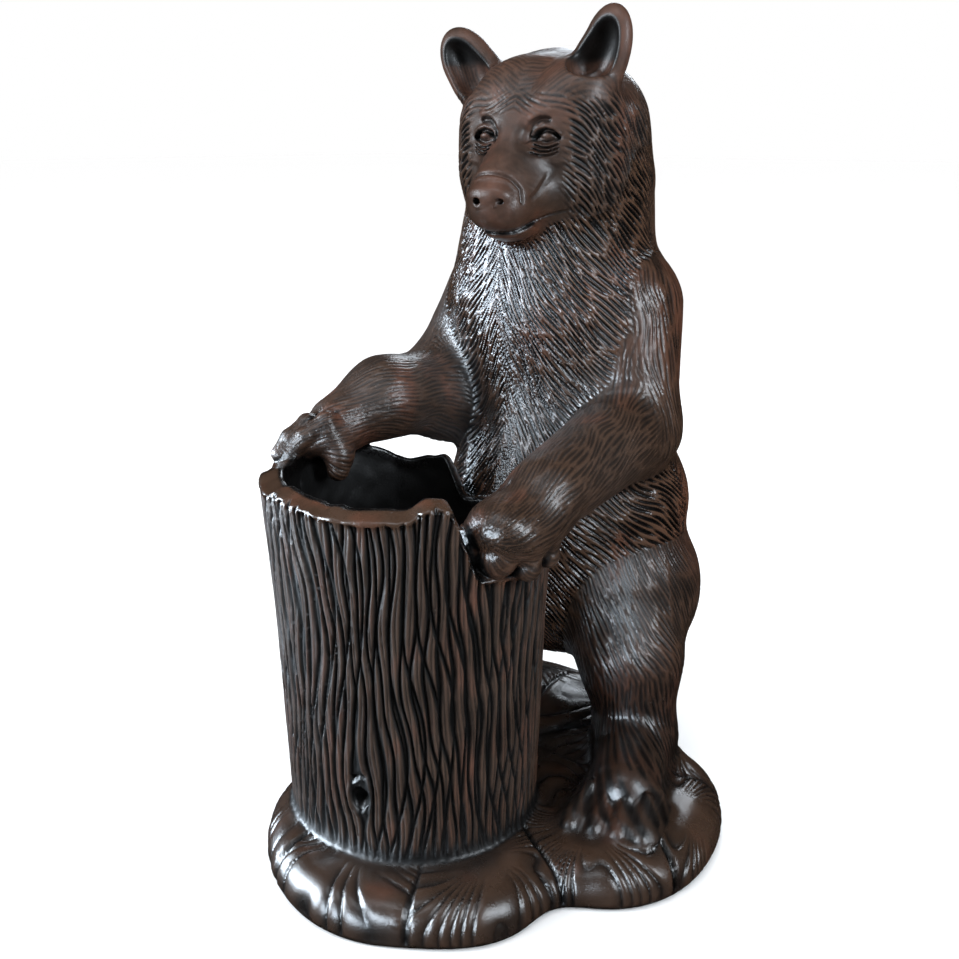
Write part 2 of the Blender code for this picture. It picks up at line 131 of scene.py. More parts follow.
def place(x, y, z):
    """A point of the figure, given in its units from the foot of its axis, in metres."""
    return np.array((x * UNIT, y * UNIT + BEAR_Y, z * UNIT), dtype=np.float32)


def on_mound(x, y, z):
    """A point of the figure whose height counts from the mound's top."""
    return place(x, y, 0.0) + np.array((0.0, 0.0, MOUND_HEIGHT + z * UNIT), dtype=np.float32)


def column(values):
    return np.asarray(values, dtype=np.float32).reshape(3, 1)


def length(q):
    return np.sqrt(q[0] * q[0] + q[1] * q[1] + q[2] * q[2])


def turn(about_x=0.0, about_y=0.0, about_z=0.0):
    """Rotation matrix from three angles in degrees, applied about X, then Y, then Z."""
    a, b, c = (math.radians(v) for v in (about_x, about_y, about_z))
    rx = np.array(((1, 0, 0), (0, math.cos(a), -math.sin(a)), (0, math.sin(a), math.cos(a))))
    ry = np.array(((math.cos(b), 0, math.sin(b)), (0, 1, 0), (-math.sin(b), 0, math.cos(b))))
    rz = np.array(((math.cos(c), -math.sin(c), 0), (math.sin(c), math.cos(c), 0), (0, 0, 1)))
    return (rz @ ry @ rx).astype(np.float32)


def smooth_step(low, high, value):
    t = np.clip((value - low) / (high - low), 0.0, 1.0)
    return t * t * (3.0 - 2.0 * t)


def melt(a, b, width):
    """Union of two forms, with a fillet about as wide as width."""
    h = np.maximum(width - np.abs(a - b), 0.0) / width
    return np.minimum(a, b) - h * h * width * 0.25


def cut(a, b, width):
    """Form a less form b, with an edge softened over width."""
    return -melt(-a, b, width)


def ellipsoid(p, centre, radii, pose=None):
    q = p - column(centre)
    if pose is not None:
        q = pose.T @ q
    r = column(radii)
    k0 = length(q / r)
    k1 = length(q / (r * r))
    return k0 * (k0 - 1.0) / np.maximum(k1, 1e-6)


def limb(p, start, end, start_radius, end_radius):
    """A round bar from start to end, whose radius changes evenly."""
    a, axis = column(start), column(end) - column(start)
    q = p - a
    t = np.clip((q * axis).sum(axis=0) / float((axis * axis).sum()), 0.0, 1.0)
    return length(q - axis * t) - (start_radius + (end_radius - start_radius) * t)


def lump(p, centre, radii, pose=None):
    """An ellipsoid laid out in the figure's units."""
    return ellipsoid(p, place(*centre), np.array(radii) * UNIT, pose)


def nearest_line(p, points):
    """Distance to a line through points."""
    nearest = limb(p, points[0], points[1], 0.0, 0.0)
    for start, end in zip(points[1:-1], points[2:]):
        nearest = np.minimum(nearest, limb(p, start, end, 0.0, 0.0))
    return nearest


def stroke(p, points, width, depth):
    """Depth of a carved line that follows points, at each place in p."""
    t = np.clip(1.0 - (nearest_line(p, points) / width) ** 2, 0.0, 1.0)
    return depth * t * t


def mark(q, axes, points, width, depth):
    """Depth of a line drawn in the plane of two axes, and carved straight through that plane."""
    flat = np.zeros_like(q)
    flat[0], flat[1] = q[axes[0]], q[axes[1]]
    return stroke(flat, [(a, b, 0.0) for a, b in points], width, depth)


def torso(p):
    body = lump(p, (0, 8, 206), (112, 108, 93))
    belly = ((0, -2, 305), (124, 117, 114))
    chest = ((0, 2, 425), (112, 100, 105))
    shoulders = ((-4, 8, 508), (112, 80, 62))
    for centre, radii in (belly, chest, shoulders):
        body = melt(body, lump(p, centre, radii), 50 * UNIT)
    for side in (-1, 1):
        body = melt(body, lump(p, (side * 50, 14, 300), (88, 88, 84)), 20 * UNIT)
    neck = limb(p, place(-14, -6, 520), place(-2, -9, 632), 108 * UNIT, 93 * UNIT)
    tail = lump(p, (0, 112, 176), (20, 20, 28), turn(about_x=20))
    return melt(melt(body, neck, 40 * UNIT), tail, 20 * UNIT)


def digit(p, paw, points, radii, width):
    """A finger through points, whose radius goes from one of radii to the next, melted onto the paw."""
    for n in range(len(points) - 1):
        paw = melt(paw, limb(p, points[n], points[n + 1], radii[n], radii[n + 1]), width)
    return paw


def left_arm(p):
    """The arm on the open side: its forearm comes forward and the paw lies over the broken rim."""
    shoulder = place(68, 8, 512)
    elbow = place(96, -14, 392)
    wrist = np.array((STUMP_X + STUMP_RADIUS - 0.001, STUMP_Y + 0.042, LOW_RIM + 0.052))
    reach = np.array((STUMP_X + STUMP_RADIUS - 0.002, STUMP_Y - 0.022, LOW_RIM + 0.034))
    arm = melt(limb(p, shoulder, elbow, 58 * UNIT, 46 * UNIT),
               limb(p, elbow, wrist, 47 * UNIT, 36 * UNIT), 20 * UNIT)
    paw = ellipsoid(p, reach + (-0.002, 0.018, -0.004), (37 * UNIT, 45 * UNIT, 31 * UNIT), turn(about_x=-14))
    arm = melt(arm, paw, 30 * UNIT)
    knob = reach + (0.0015, -0.0045, -0.019)
    inner = reach + (-0.0300, -0.0065, -0.012)
    outer = reach + (0.0195, 0.0175, -0.038)
    last = reach + (0.0215, 0.0425, -0.034)
    arm = melt(arm, ellipsoid(p, knob, (19 * UNIT, 19 * UNIT, 21 * UNIT), turn(about_x=-20)), 2.5 * UNIT)
    between_them = ellipsoid(p, reach + (-0.018, -0.012, -0.020), (15 * UNIT, 13 * UNIT, 18 * UNIT))
    arm = melt(arm, between_them, 3 * UNIT)
    arm = digit(p, arm, (inner + (0.014, 0.022, 0.016), inner, inner + (-0.001, -0.004, -0.012)),
                (0.014, 0.0120, 0.0100), 0.006)
    near_two = ((outer, (-0.012, 0.004, 0.030), 0.0125), (last, (-0.012, 0.002, 0.028), 0.0115))
    for tip, root, radius in near_two:
        arm = digit(p, arm, (tip + root, tip + (-0.003, 0.0, 0.004)), (0.016, radius), 0.005)
    valleys = (((-0.021, -0.014, -0.014), (-0.019, 0.004, 0.014), (-0.012, 0.036, 0.032)),
               ((0.011, 0.004, -0.030), (0.016, 0.012, 0.000), (0.010, 0.040, 0.030)),
               ((0.026, 0.029, -0.030), (0.028, 0.033, -0.008), (0.020, 0.052, 0.022)))
    for valley in valleys:
        arm = arm + stroke(p, [reach + at for at in valley], 0.0070, 0.0026)
    return arm


def on_rim(angle, radius, above):
    """A point by the sound rim: its angle in degrees around the stump, its distance out and height above."""
    a = math.radians(angle)
    return np.array((STUMP_X + radius * math.cos(a), STUMP_Y + radius * math.sin(a), STUMP_HEIGHT + above))


# The far paw's fingers: angle around the stump, share of its radius and height above the rim of each tip,
# then how far back the knuckle lies and in which direction
FAR_FINGERS = ((204.0, 1.05, 0.002, 0.032, 76.0), (203.0, 0.975, 0.001, 0.038, 62.0),
               (191.5, 0.925, 0.001, 0.037, 56.0), (178.5, 0.86, -0.008, 0.028, 50.0))


def right_arm(p):
    """The far arm: it reaches along the stump's side, and its fingers lie forward over the sound rim."""
    shoulder = place(-86, 2, 516)
    elbow = place(-106, -66, 412)
    middle = place(-99, -177, 424)
    wrist = np.array((STUMP_X - 0.865 * STUMP_RADIUS, STUMP_Y + 0.012, STUMP_HEIGHT + 0.020))
    reach = np.array((STUMP_X - 0.85 * STUMP_RADIUS, STUMP_Y - 0.040, STUMP_HEIGHT + 0.002))
    arm = melt(limb(p, shoulder, elbow, 60 * UNIT, 52 * UNIT),
               limb(p, elbow, middle, 52 * UNIT, 38 * UNIT), 26 * UNIT)
    arm = melt(arm, limb(p, middle, wrist, 38 * UNIT, 29 * UNIT), 20 * UNIT)
    palm = ellipsoid(p, reach + (-0.002, 0.031, 0.007), (24 * UNIT, 36 * UNIT, 16 * UNIT), turn(about_z=-24))
    arm = melt(arm, palm, 16 * UNIT)
    fingers = []
    for angle, share, above, span, heading in FAR_FINGERS:
        toward = np.array((math.cos(math.radians(heading)), math.sin(math.radians(heading)), 0.0))
        tip = on_rim(angle, share * STUMP_RADIUS, above)
        knuckle = tip + toward * span + (0.0, 0.0, 0.80 * span)
        start = 0.62 * knuckle + 0.38 * wrist + (0.0, 0.0, 0.004)
        bend = 0.60 * tip + 0.40 * knuckle + (0.0, 0.0, 0.0035)
        fingers.append((0.5 * (start + knuckle), knuckle, bend))
        arm = digit(p, arm, (start, knuckle, bend, tip), (0.0070, 0.0088, 0.0086, 0.0076), 0.0040)
    for one, other in zip(fingers[:-1], fingers[1:]):
        valley = [0.5 * (a + b) for a, b in zip(one, other)]
        web = [at - (0.0, 0.0, 0.0035) for at in valley]
        arm = digit(p, arm, web, (0.0066, 0.0070, 0.0062), 0.0040)
        arm = arm + stroke(p, [at + (0.0, 0.0, 0.004) for at in valley], 0.0062, 0.0016)
    inside = reach + np.array((0.018, 0.034, -0.006))
    arm = digit(p, arm, (inside + (-0.008, -0.006, 0.022), inside, inside + (0.002, -0.004, -0.014)),
                (0.015, 0.0135, 0.0110), 0.007)
    return arm


def leg(p, side):
    """One hind leg, with the thigh out to the side, the knee forward and the foot turned out."""
    s = side
    thigh = lump(p, (s * 84, 10, 202), (74, 92, 94), turn(about_x=-12))
    knee = lump(p, (s * 118, -34, 150), (52, 60, 60))
    shin = limb(p, place(s * 121, -34, 140), on_mound(s * 131, -40, 26), 50 * UNIT, 42 * UNIT)
    foot = limb(p, on_mound(s * 132, -40, 18), on_mound(s * 178, -132, 16), 42 * UNIT, 34 * UNIT)
    whole = melt(melt(thigh, knee, 24 * UNIT), melt(shin, foot, 20 * UNIT), 16 * UNIT)
    for n in range(4):
        spread = n - 1.5
        root = on_mound(s * (178 + 18 * spread), -134 + 3 * abs(spread), 14)
        tip = on_mound(s * (191 + 21 * spread), -178 + 7 * spread, 6)
        whole = melt(whole, limb(p, root, tip, 18 * UNIT, 13 * UNIT), 6 * UNIT)
        ridge = on_mound(s * (184 + 19 * spread), -152 + 5 * spread, 27)
        claw = on_mound(s * (194 + 22 * spread), -190 + 8 * spread, 9)
        whole = melt(whole, limb(p, ridge, claw, 5.0 * UNIT, 4.2 * UNIT), 3 * UNIT)
    return whole


def head_axes(p):
    """Places in the head's own axes and in thousandths: the face looks along -Y there."""
    pose = turn(about_z=math.degrees(HEAD_TURN))
    return pose.T @ (p - column(place(*HEAD_AT))) / UNIT


def shifted(points, right, up):
    """The points of a drawn line, moved over."""
    return [(a + right, b + up) for a, b in points]


def drawn(q, skull, share, axes, lines):
    """The skull with lines carved in where their depth is above zero, and raised where it is below."""
    for points, width, depth in lines:
        skull = skull + share * mark(q, axes, points, width, depth)
    return skull


def eye(q, skull):
    """An eye under its heavy lid, the crease that runs up from its inner corner and the bags below, at +X."""
    front = smooth_step(-52.0, -66.0, q[1])
    skull = cut(skull, ellipsoid(q, (32, -104, -3), (17, 14, 12)), 12)
    skull = melt(skull, ellipsoid(q, (32, -82, -2), (12, 8.5, 9)), 5)
    skull = skull + front * mark(q, (0, 2), ((25, -4), (32, -3), (39, -4)), 7.0, 3.0)
    skull = melt(skull, ellipsoid(q, (32.5, -84.0, -4), (7.6, 6.2, 5.4)), 0.8)
    upper = ((20.0, -7.5), (25, -1.8), (32, 0.8), (39, -1.2), (44, -6))
    lower = ((20.0, -7.5), (27, -9.6), (33, -10.2), (39, -9), (44, -6))
    crease = ((16, -9), (16.5, -1), (20, 6.5), (27, 10.5), (34, 10))
    lines = [(upper, 2.6, 2.8), (lower, 1.8, 1.5), (shifted(upper, 0, 4.0), 2.8, -1.2),
             (crease, 3.6, 2.4), (shifted(crease[1:], 1, 6.0), 5.5, -1.1)]
    for drop, depth in ((-14.4, 1.6), (-17.8, 1.6), (-21.2, 1.2)):
        fold = ((23, drop + 1.6), (29, drop - 0.8), (36, drop - 0.6), (43, drop + 2.2))
        lines += [(shifted(fold, 0, 1.8), 1.9, -1.1), (fold, 1.6, depth)]
    return drawn(q, skull, front, (0, 2), lines)


def muzzle_and_jaw(q, skull):
    """The muzzle with its bridge, nose pad and chin."""
    muzzle = ellipsoid(q, (0, -86, -58), (37, 54, 32))
    muzzle = melt(muzzle, limb(q, (3, -56, 8), (2, -122, -46), 27, 15), 22)
    muzzle = melt(muzzle, ellipsoid(q, (1, -122, -69), (27, 25, 21)), 14)
    skull = melt(skull, muzzle, 30)
    jaw = ellipsoid(q, (0, -83, -84.5), (26, 42, 15.5), turn(about_x=7))
    skull = melt(skull, jaw, 4)
    nose = ellipsoid(q, (2, -136, -57), (21, 14, 13), turn(about_x=-10))
    skull = melt(skull, nose, 2.5)
    ring = ((-141, -35), (-132, -42), (-127.5, -51), (-128.5, -62))
    return skull + mark(q, (1, 2), ring, 2.8, 2.0)


def nostrils_and_lips(q, skull):
    for x in (-8, 15):
        skull = cut(skull, ellipsoid(q, (x, -150, -61), (3.8, 9, 3.0), turn(about_y=8 if x > 0 else -8)), 1.2)
        skull = skull - stroke(q, ((x - 5, -148, -65.5), (x, -149, -67), (x + 5, -147, -65.5)), 2.4, 1.2)
    low = smooth_step(-50.0, -60.0, q[1])
    mouth = ((-160, -86), (-146, -88), (-134, -90.5), (-118, -89), (-98, -81), (-74, -71))
    lower_lip = shifted(mouth[:5], 0, -5.0)
    skull = drawn(q, skull, low, (1, 2), ((mouth, 2.2, 1.6), (lower_lip, 4.0, -1.4)))
    side = low * smooth_step(6.0, 16.0, np.abs(q[0]))
    cheek = ((-86, -26), (-93, -36), (-103, -46), (-112, -53))
    return drawn(q, skull, side, (1, 2), ((cheek, 4.5, -1.0), (shifted(cheek, -3.5, -6.0), 5.0, 1.5)))


# Each ear: its side, the middle of its leaf, and how far its tip leans out, in degrees
EARS = ((1, (67, -38, 72), 17), (-1, (78, -38, 61), 34))


def ear_cup(whole, side, at, tip_out):
    """Distance outside the hollow of one ear."""
    r = whole * column((side, 1, 1))
    tilt = turn(about_y=tip_out, about_z=-14)
    upper = ellipsoid(r, (at[0] - 1, at[1] - 17, at[2] - 1), (16, 21, 29), tilt)
    lower = ellipsoid(r, (at[0] - 12, at[1] - 16, at[2] - 14), (16, 21, 19), tilt)
    return melt(upper, lower, 12)


def ears(whole, skull):
    """Two leaf-shaped ears, hollow in front inside a thick rim."""
    for side, at, tip_out in EARS:
        r = whole * column((side, 1, 1))
        tilt = turn(about_y=tip_out, about_z=-14)
        root = (at[0] - 13, at[1] + 2, at[2] - 17)
        leaf = melt(ellipsoid(r, at, (26, 15, 40), tilt), ellipsoid(r, root, (26, 15, 27), tilt), 12)
        skull = melt(skull, leaf, 8)
        skull = cut(skull, ear_cup(whole, side, at, tip_out), 5)
    return skull


def head(p):
    """The head; all but the ears, the furrow of the brow and the nostrils is alike on both sides."""
    whole = head_axes(p)
    q = whole.copy()
    q[0] = np.abs(q[0])
    skull = ellipsoid(q, (0, 6, 2), (88, 94, 76))
    skull = melt(skull, ellipsoid(q, (45, -40, -2), (34, 42, 52)), 24)
    skull = melt(skull, ellipsoid(q, (40, -34, -46), (42, 46, 42)), 24)
    brow = whole.copy()
    brow[0] = np.abs(whole[0] - 0.22 * np.maximum(whole[2] + 20.0, 0.0))
    skull = melt(skull, ellipsoid(brow, (30, -50, 28), (37, 30, 37)), 20)
    skull = skull + stroke(brow, ((0, -82, 10), (0, -84, 36), (0, -62, 68)), 15, 3.0)
    skull = muzzle_and_jaw(q, skull)
    skull = eye(q, skull)
    skull = nostrils_and_lips(whole, skull)
    return ears(whole, skull) * UNIT


def between(angle, start, end, slope):
    """1 where the angle lies from start to end, in degrees, falling to 0 over slope degrees outside."""
    rise = smooth_step(math.radians(start - slope), math.radians(start), angle)
    return rise * smooth_step(math.radians(end + slope), math.radians(end), angle)


def rim_height(angle):
    """Height of the rim around the stump: broken down under the near paw, with a peak beside the break."""
    broken = between(angle, -20.0, 104.0, 14.0)
    worn = between(angle, 106.0, 133.0, 38.0) * (1.0 - broken)
    peak = np.exp(-((angle + math.radians(38.0)) / math.radians(7.5)) ** 2)
    rim = STUMP_HEIGHT - RIM_DROP * broken - 0.37 * RIM_DROP * worn + 0.16 * RIM_DROP * peak
    rim = rim + 0.03 * RIM_DROP * np.sin(7.0 * angle + 2.0 * np.sin(3.0 * angle))
    return rim + 0.0008 * np.sin(23.0 * angle + 1.5 * np.sin(9.0 * angle))


def stump(p):
    """The hollow stump: flared at its foot, with its knot hole."""
    x, y, z = p[0] - STUMP_X, p[1] - STUMP_Y, p[2]
    angle = np.arctan2(y, x)
    radius = np.hypot(x, y)
    rise = z / STUMP_HEIGHT
    flare = 0.09 * (rise - 0.54) + 0.035 * smooth_step(0.6, 1.05, rise)
    outside = STUMP_RADIUS * (1.0 + flare + 0.012 * np.cos(3.0 * angle + 1.0))
    inside = outside - STUMP_WALL
    top = rim_height(angle) - RIM_SLOPE * np.maximum(radius - inside, 0.0)
    solid = cut(radius - outside, top - z, 0.22 * RIM_BEVEL)
    hollow = cut(radius - inside, z - STUMP_FLOOR, FLOOR_FILLET)
    solid = cut(solid, hollow, RIM_EDGE)
    away = 0.97 * STUMP_RADIUS
    knot = (STUMP_X + away * math.cos(KNOT_ANGLE), STUMP_Y + away * math.sin(KNOT_ANGLE), KNOT_HEIGHT)
    outward = turn(about_z=math.degrees(KNOT_ANGLE) + 90.0)
    hole = ellipsoid(p, knot, (KNOT_SIZE[0], 0.011, KNOT_SIZE[1]), outward)
    return cut(solid, hole, 0.002)


def mound_plan(p):
    """Distance outside the mound's plan."""
    x, y = p[0], p[1]
    over_x, over_y = (x - STUMP_X) / STUMP_RADIUS, (y - STUMP_Y) / STUMP_RADIUS
    plan = STUMP_RADIUS * (np.hypot(over_x - 0.09, over_y + 0.10) - 1.0) - MOUND_MARGIN
    for lobe_x, lobe_y, reach in ((0.36, -0.52, 0.79), (0.96, -0.42, 0.46)):
        plan = melt(plan, STUMP_RADIUS * (np.hypot(over_x - lobe_x, over_y - lobe_y) - reach), LOBE_MELT)
    near_side = ((172, -162, 93), (166, -112, 88), (152, -70, 79), (56, 2, 88), (70, -108, 66))
    far_side = ((-166, -156, 84), (-160, -108, 79), (-144, -68, 76), (-56, 2, 88), (-70, -108, 66))
    for lobe_x, lobe_y, reach in near_side + far_side:
        along = y - BEAR_Y - lobe_y * UNIT
        plan = melt(plan, np.hypot(x - lobe_x * UNIT, along) - reach * UNIT, LOBE_MELT)
    return plan


def mound(p):
    """The mound: rounded lobes around the stump and under each foot, flat below."""
    over = p[2] - MOUND_HEIGHT + MOUND_EDGE
    inset = mound_plan(p) + MOUND_EDGE
    solid = np.hypot(np.maximum(inset, 0.0), np.maximum(over, 0.0)) + np.minimum(np.maximum(inset, over), 0.0)
    hump = ellipsoid(p, on_mound(0, -26, -26), (104 * UNIT, 96 * UNIT, 56 * UNIT))
    return melt(solid - MOUND_EDGE, hump, MOUND_EDGE)


# Each form with the box that holds it, in metres, and the width over which it melts into those before it
FORMS = {
    "stump": (stump, (-0.16, -0.285, -0.01), (0.165, 0.035, 0.42), 0.0),
    "mound": (mound, (-0.29, -0.35, -0.05), (0.30, 0.26, 0.08), STUMP_ROOT),
    "torso": (torso, (-0.155, -0.02, 0.09), (0.155, 0.27, 0.74), 0.0),
    "left_arm": (left_arm, (-0.01, -0.23, 0.28), (0.20, 0.205, 0.58), 16 * UNIT),
    "right_arm": (right_arm, (-0.19, -0.24, 0.33), (-0.01, 0.20, 0.585), 16 * UNIT),
    "left_leg": (lambda p: leg(p, 1.0), (-0.01, -0.13, -0.03), (0.27, 0.24, 0.31), 18 * UNIT),
    "right_leg": (lambda p: leg(p, -1.0), (-0.27, -0.13, -0.03), (0.01, 0.24, 0.31), 18 * UNIT),
    "head": (head, (-0.15, -0.08, 0.56), (0.16, 0.225, 0.82), 14 * UNIT),
}


def near_form(p, form, low, high):
    """Values of a form where it is near, and a safe distance elsewhere."""
    middle = column([(a + b) / 2.0 for a, b in zip(low, high)])
    half = column([(b - a) / 2.0 for a, b in zip(low, high)])
    value = length(np.maximum(np.abs(p - middle) - half, 0.0))
    near = value < GUARD
    if near.any():
        value[near] = form(p[:, near])
    return value


def casting(p):
    """The whole form without its carving: stump and mound, then the bear's parts, flat below."""
    values = {name: near_form(p, form, low, high) for name, (form, low, high, width) in FORMS.items()}
    ground = melt(values["stump"], values["mound"], STUMP_ROOT)
    bear = values["torso"]
    for name in ("left_arm", "right_arm", "left_leg", "right_leg", "head"):
        bear = melt(bear, values[name], FORMS[name][3])
    joint = (8.0 + 14.0 * smooth_step(0.075, 0.045, p[2])) * UNIT
    return cut(melt(ground, bear, joint), p[2], FOOT_EDGE)


def scatter(number, seed):
    """A steady, random-looking share from 0 to 1 for each whole number."""
    value = np.sin(number * 12.9898 + seed * 78.233) * 43758.547
    return value - np.floor(value)


def drift(p, size, seed):
    """A smooth wandering value from -1 to 1 that changes over about size."""
    a, b, c = p[0] * (6.28 / size), p[1] * (6.28 / size), p[2] * (6.28 / size)
    first = np.sin(a + 1.7 * np.sin(0.7 * b + seed) + 2.1 * seed)
    second = np.sin(1.3 * b + 1.3 * np.sin(0.9 * c + 2.0 * seed) + 0.5)
    third = np.sin(1.1 * c + 1.9 * np.sin(0.8 * a + 3.0 * seed) + 1.1 * seed)
    return (first + second + third) / 3.0


def gouges(across, along, pitch, reach, seed):
    """Depth, from 0 to 1, of rows of long narrow cuts that taper at both ends, each a little out of line."""
    row = across / pitch
    lane = np.floor(row)
    v = along / reach + scatter(lane, seed)
    number = np.floor(v)
    own = lane + 19.0 * number
    t = v - number
    middle = 0.16 * (scatter(own, seed + 1.0) - 0.5) + 0.22 * (scatter(own, seed + 2.0) - 0.5) * (t - 0.5)
    width = (0.16 + 0.08 * scatter(own, seed + 3.0)) * np.sqrt(np.sin(math.pi * t) + 0.002)
    cross = (row - lane - 0.5 - middle) / width
    return np.clip(1.0 - cross * cross, 0.0, 1.0) * np.minimum(1.0, 6.0 * t * (1.0 - t) + 0.15)


def fur(across, along, pitch, reach, seed):
    """Height of carved fur: two sets of gouges in each other's gaps, with finer scratches on the ridges."""
    across = across + 0.30 * pitch * np.sin(along / reach * 2.6 + across / pitch * 0.45 + seed)
    first = gouges(across, along, 2.0 * pitch, reach, seed)
    second = gouges(across + pitch, along + 0.4 * reach, 2.0 * pitch, 0.83 * reach, seed + 5.0)
    fine = gouges(across + 0.5 * pitch, along, 0.9 * pitch, 0.6 * reach, seed + 9.0)
    return 1.0 - np.maximum(np.maximum(first, second), 0.35 * fine)


def torso_coat(p):
    """Strands that fall away from the breastbone, steeper near it, and from the spine behind."""
    x, y, z = p[0] + 0.004, p[1] - BEAR_Y, p[2] + 0.004 * drift(p, 0.09, 1.0)
    bend = np.abs(np.arctan2(x, -y))
    s = 115 * UNIT * bend
    steep = np.where(x < 0.0, 1.1, 2.2) * 0.035 * (1.0 - np.exp(-s / 0.035))
    across = 0.66 * (z + 0.80 * s + steep)
    front = fur(across + 0.5 * np.sign(x), 0.62 * s - 0.78 * z, FUR_PITCH, FUR_LENGTH, 1.0)
    spread = 115 * UNIT * (math.pi - bend)
    turned = 0.9 * spread + 0.26 * z + 0.012 * drift(p, 0.13, 12.0) + 0.4 * np.sign(x)
    back = fur(turned, 0.26 * spread - 0.9 * z, 0.95 * FUR_PITCH, 1.5 * FUR_LENGTH, 2.0)
    behind = smooth_step(1.6, 1.9, bend)
    height = front * (1.0 - behind) + back * behind
    lift = FUR_DEPTH * (height - 0.65) * (1.0 - 0.35 * behind)
    bone = stroke(p, ((-0.004, 0.02, 0.60), (-0.004, 0.02, 0.37)), 0.0055, 0.0014) * (1.0 - behind)
    for at in (-0.017, -0.006):
        ridge = ((at, 0.030, 0.425), (at + 0.001, 0.022, 0.36))
        lift = lift + stroke(p, ridge, 0.0055, 0.0030)
    return lift - bone, height


def limb_coat(p, start, end, radius, twist, pitch, depth):
    """Fine strands along a limb, turning about it by twist."""
    axis = np.asarray(end, dtype=np.float64) - np.asarray(start, dtype=np.float64)
    axis = axis / float(np.sqrt((axis * axis).sum()))
    side = np.cross(axis, (0.0, 0.0, 1.0) if abs(axis[2]) < 0.8 else (0.0, -1.0, 0.0))
    side = side / np.sqrt((side * side).sum())
    up = np.cross(side, axis)
    q = p - column(start)
    along = (q * column(axis)).sum(axis=0)
    bend = np.arctan2((q * column(side)).sum(axis=0), (q * column(up)).sum(axis=0))
    across = radius * bend + twist * along + 0.004 * drift(p, 0.08, 3.0)
    height = fur(across, along, pitch, 9.0 * pitch, 3.0)
    return depth * (height - 0.6), 0.50 + 0.40 * height


def left_arm_coat(p):
    upper, tall = limb_coat(p, place(70, 4, 540), place(92, -10, 380), 50 * UNIT, 0.15, 0.0052, 0.0009)
    fore, low = limb_coat(p, place(95, -12, 390), place(128, -268, 360), 46 * UNIT, 0.2, 0.0044, 0.0006)
    share = smooth_step(0.0, 0.05, 0.108 - p[1])
    return upper * (1.0 - share) + fore * share, tall * (1.0 - share) + low * share


def right_arm_coat(p):
    return limb_coat(p, place(-88, 4, 496), place(-112, -240, 400), 50 * UNIT, -0.5, 0.0046, 0.0007)


def leg_coat(p, side):
    """Strands that run forward and down over the thigh, and round the shin."""
    x, y, z = p[0] * side, p[1] - BEAR_Y, p[2] + 0.004 * drift(p, 0.08, 4.0)
    bend = np.arctan2(y - 0.005, x - 0.055)
    thigh = fur(0.10 * bend + 0.45 * z, 0.04 * bend - 0.9 * z, 0.0048, 0.045, 4.0)
    bend = np.arctan2(y + 0.040, x - 0.100)
    shin = fur(0.055 * bend + 0.12 * z, -z, 0.0044, 0.040, 5.0)
    lower = smooth_step(0.17, 0.12, z)
    bare = smooth_step(-0.085, -0.125, y) * smooth_step(0.10, 0.08, z)
    height = thigh * (1.0 - lower) + shin * lower
    depth = (0.0013 * (1.0 - lower) + 0.0008 * lower) * (1.0 - 0.9 * bare)
    # Painted shade: the legs' tone is set darker than the arms', and darker still towards the shin.
    return depth * (height - 0.6), (0.34 + 0.52 * height) * (1.0 - 0.22 * lower)


def head_coat(p):
    """Long cuts back and down over the cheeks, finer ones over the brow; muzzle and ears stay smooth, with
    painted shade darkening the ears' hollows.
    """
    q = head_axes(p)
    x, y, z = np.abs(q[0]), q[1], q[2]
    s = 0.85 * (x + y)
    z = z + 3.0 * drift(p, 0.06, 5.0)
    slope = np.radians(30.0 + 0.20 * np.clip(s + 20.0, -30.0, 110.0))
    across = (s * np.sin(slope) + z * np.cos(slope)) * UNIT
    along = (s * np.cos(slope) - z * np.sin(slope)) * UNIT
    cheek = fur(across, along, 0.0050, 0.034, 6.0)
    bend = np.arctan2(q[0], y + 10.0)
    nape = fur(88.0 * UNIT * bend + 0.12 * z * UNIT, -z * UNIT, 0.0052, 0.050, 13.0)
    rear = smooth_step(22.0, 46.0, y)
    crown = fur((0.55 * x - 0.75 * y - 0.3 * z) * UNIT, (0.75 * x + 0.55 * y) * UNIT, 0.0034, 0.030, 7.0)
    top = smooth_step(14.0, 42.0, z)
    face = smooth_step(-40.0, -60.0, y) * smooth_step(60.0, 45.0, x) * smooth_step(34.0, 12.0, z)
    ear = smooth_step(56.0, 68.0, z) * smooth_step(30.0, 42.0, x)
    depth = 0.0028 * (1.0 - top) + 0.0008 * top
    bare = 1.0 - (1.0 - 0.96 * face) * (1.0 - 0.8 * ear)
    height = cheek * (1.0 - top) + (0.66 + 0.28 * crown) * top
    height = height * (1.0 - rear) + nape * rear
    depth = depth * (1.0 - rear) + 0.0022 * rear
    cup = np.minimum(ear_cup(q, *EARS[0]), ear_cup(q, *EARS[1]))
    hollow = ear * smooth_step(4.5, 1.0, cup)
    tall = height * (1.0 - bare) + (0.80 + 0.06 * drift(p, 0.010, 15.0)) * bare
    # Painted shade: the ear's hollow is coloured near black.
    return depth * (1.0 - bare) * (height - 0.65), tall * (1.0 - 0.88 * hollow)


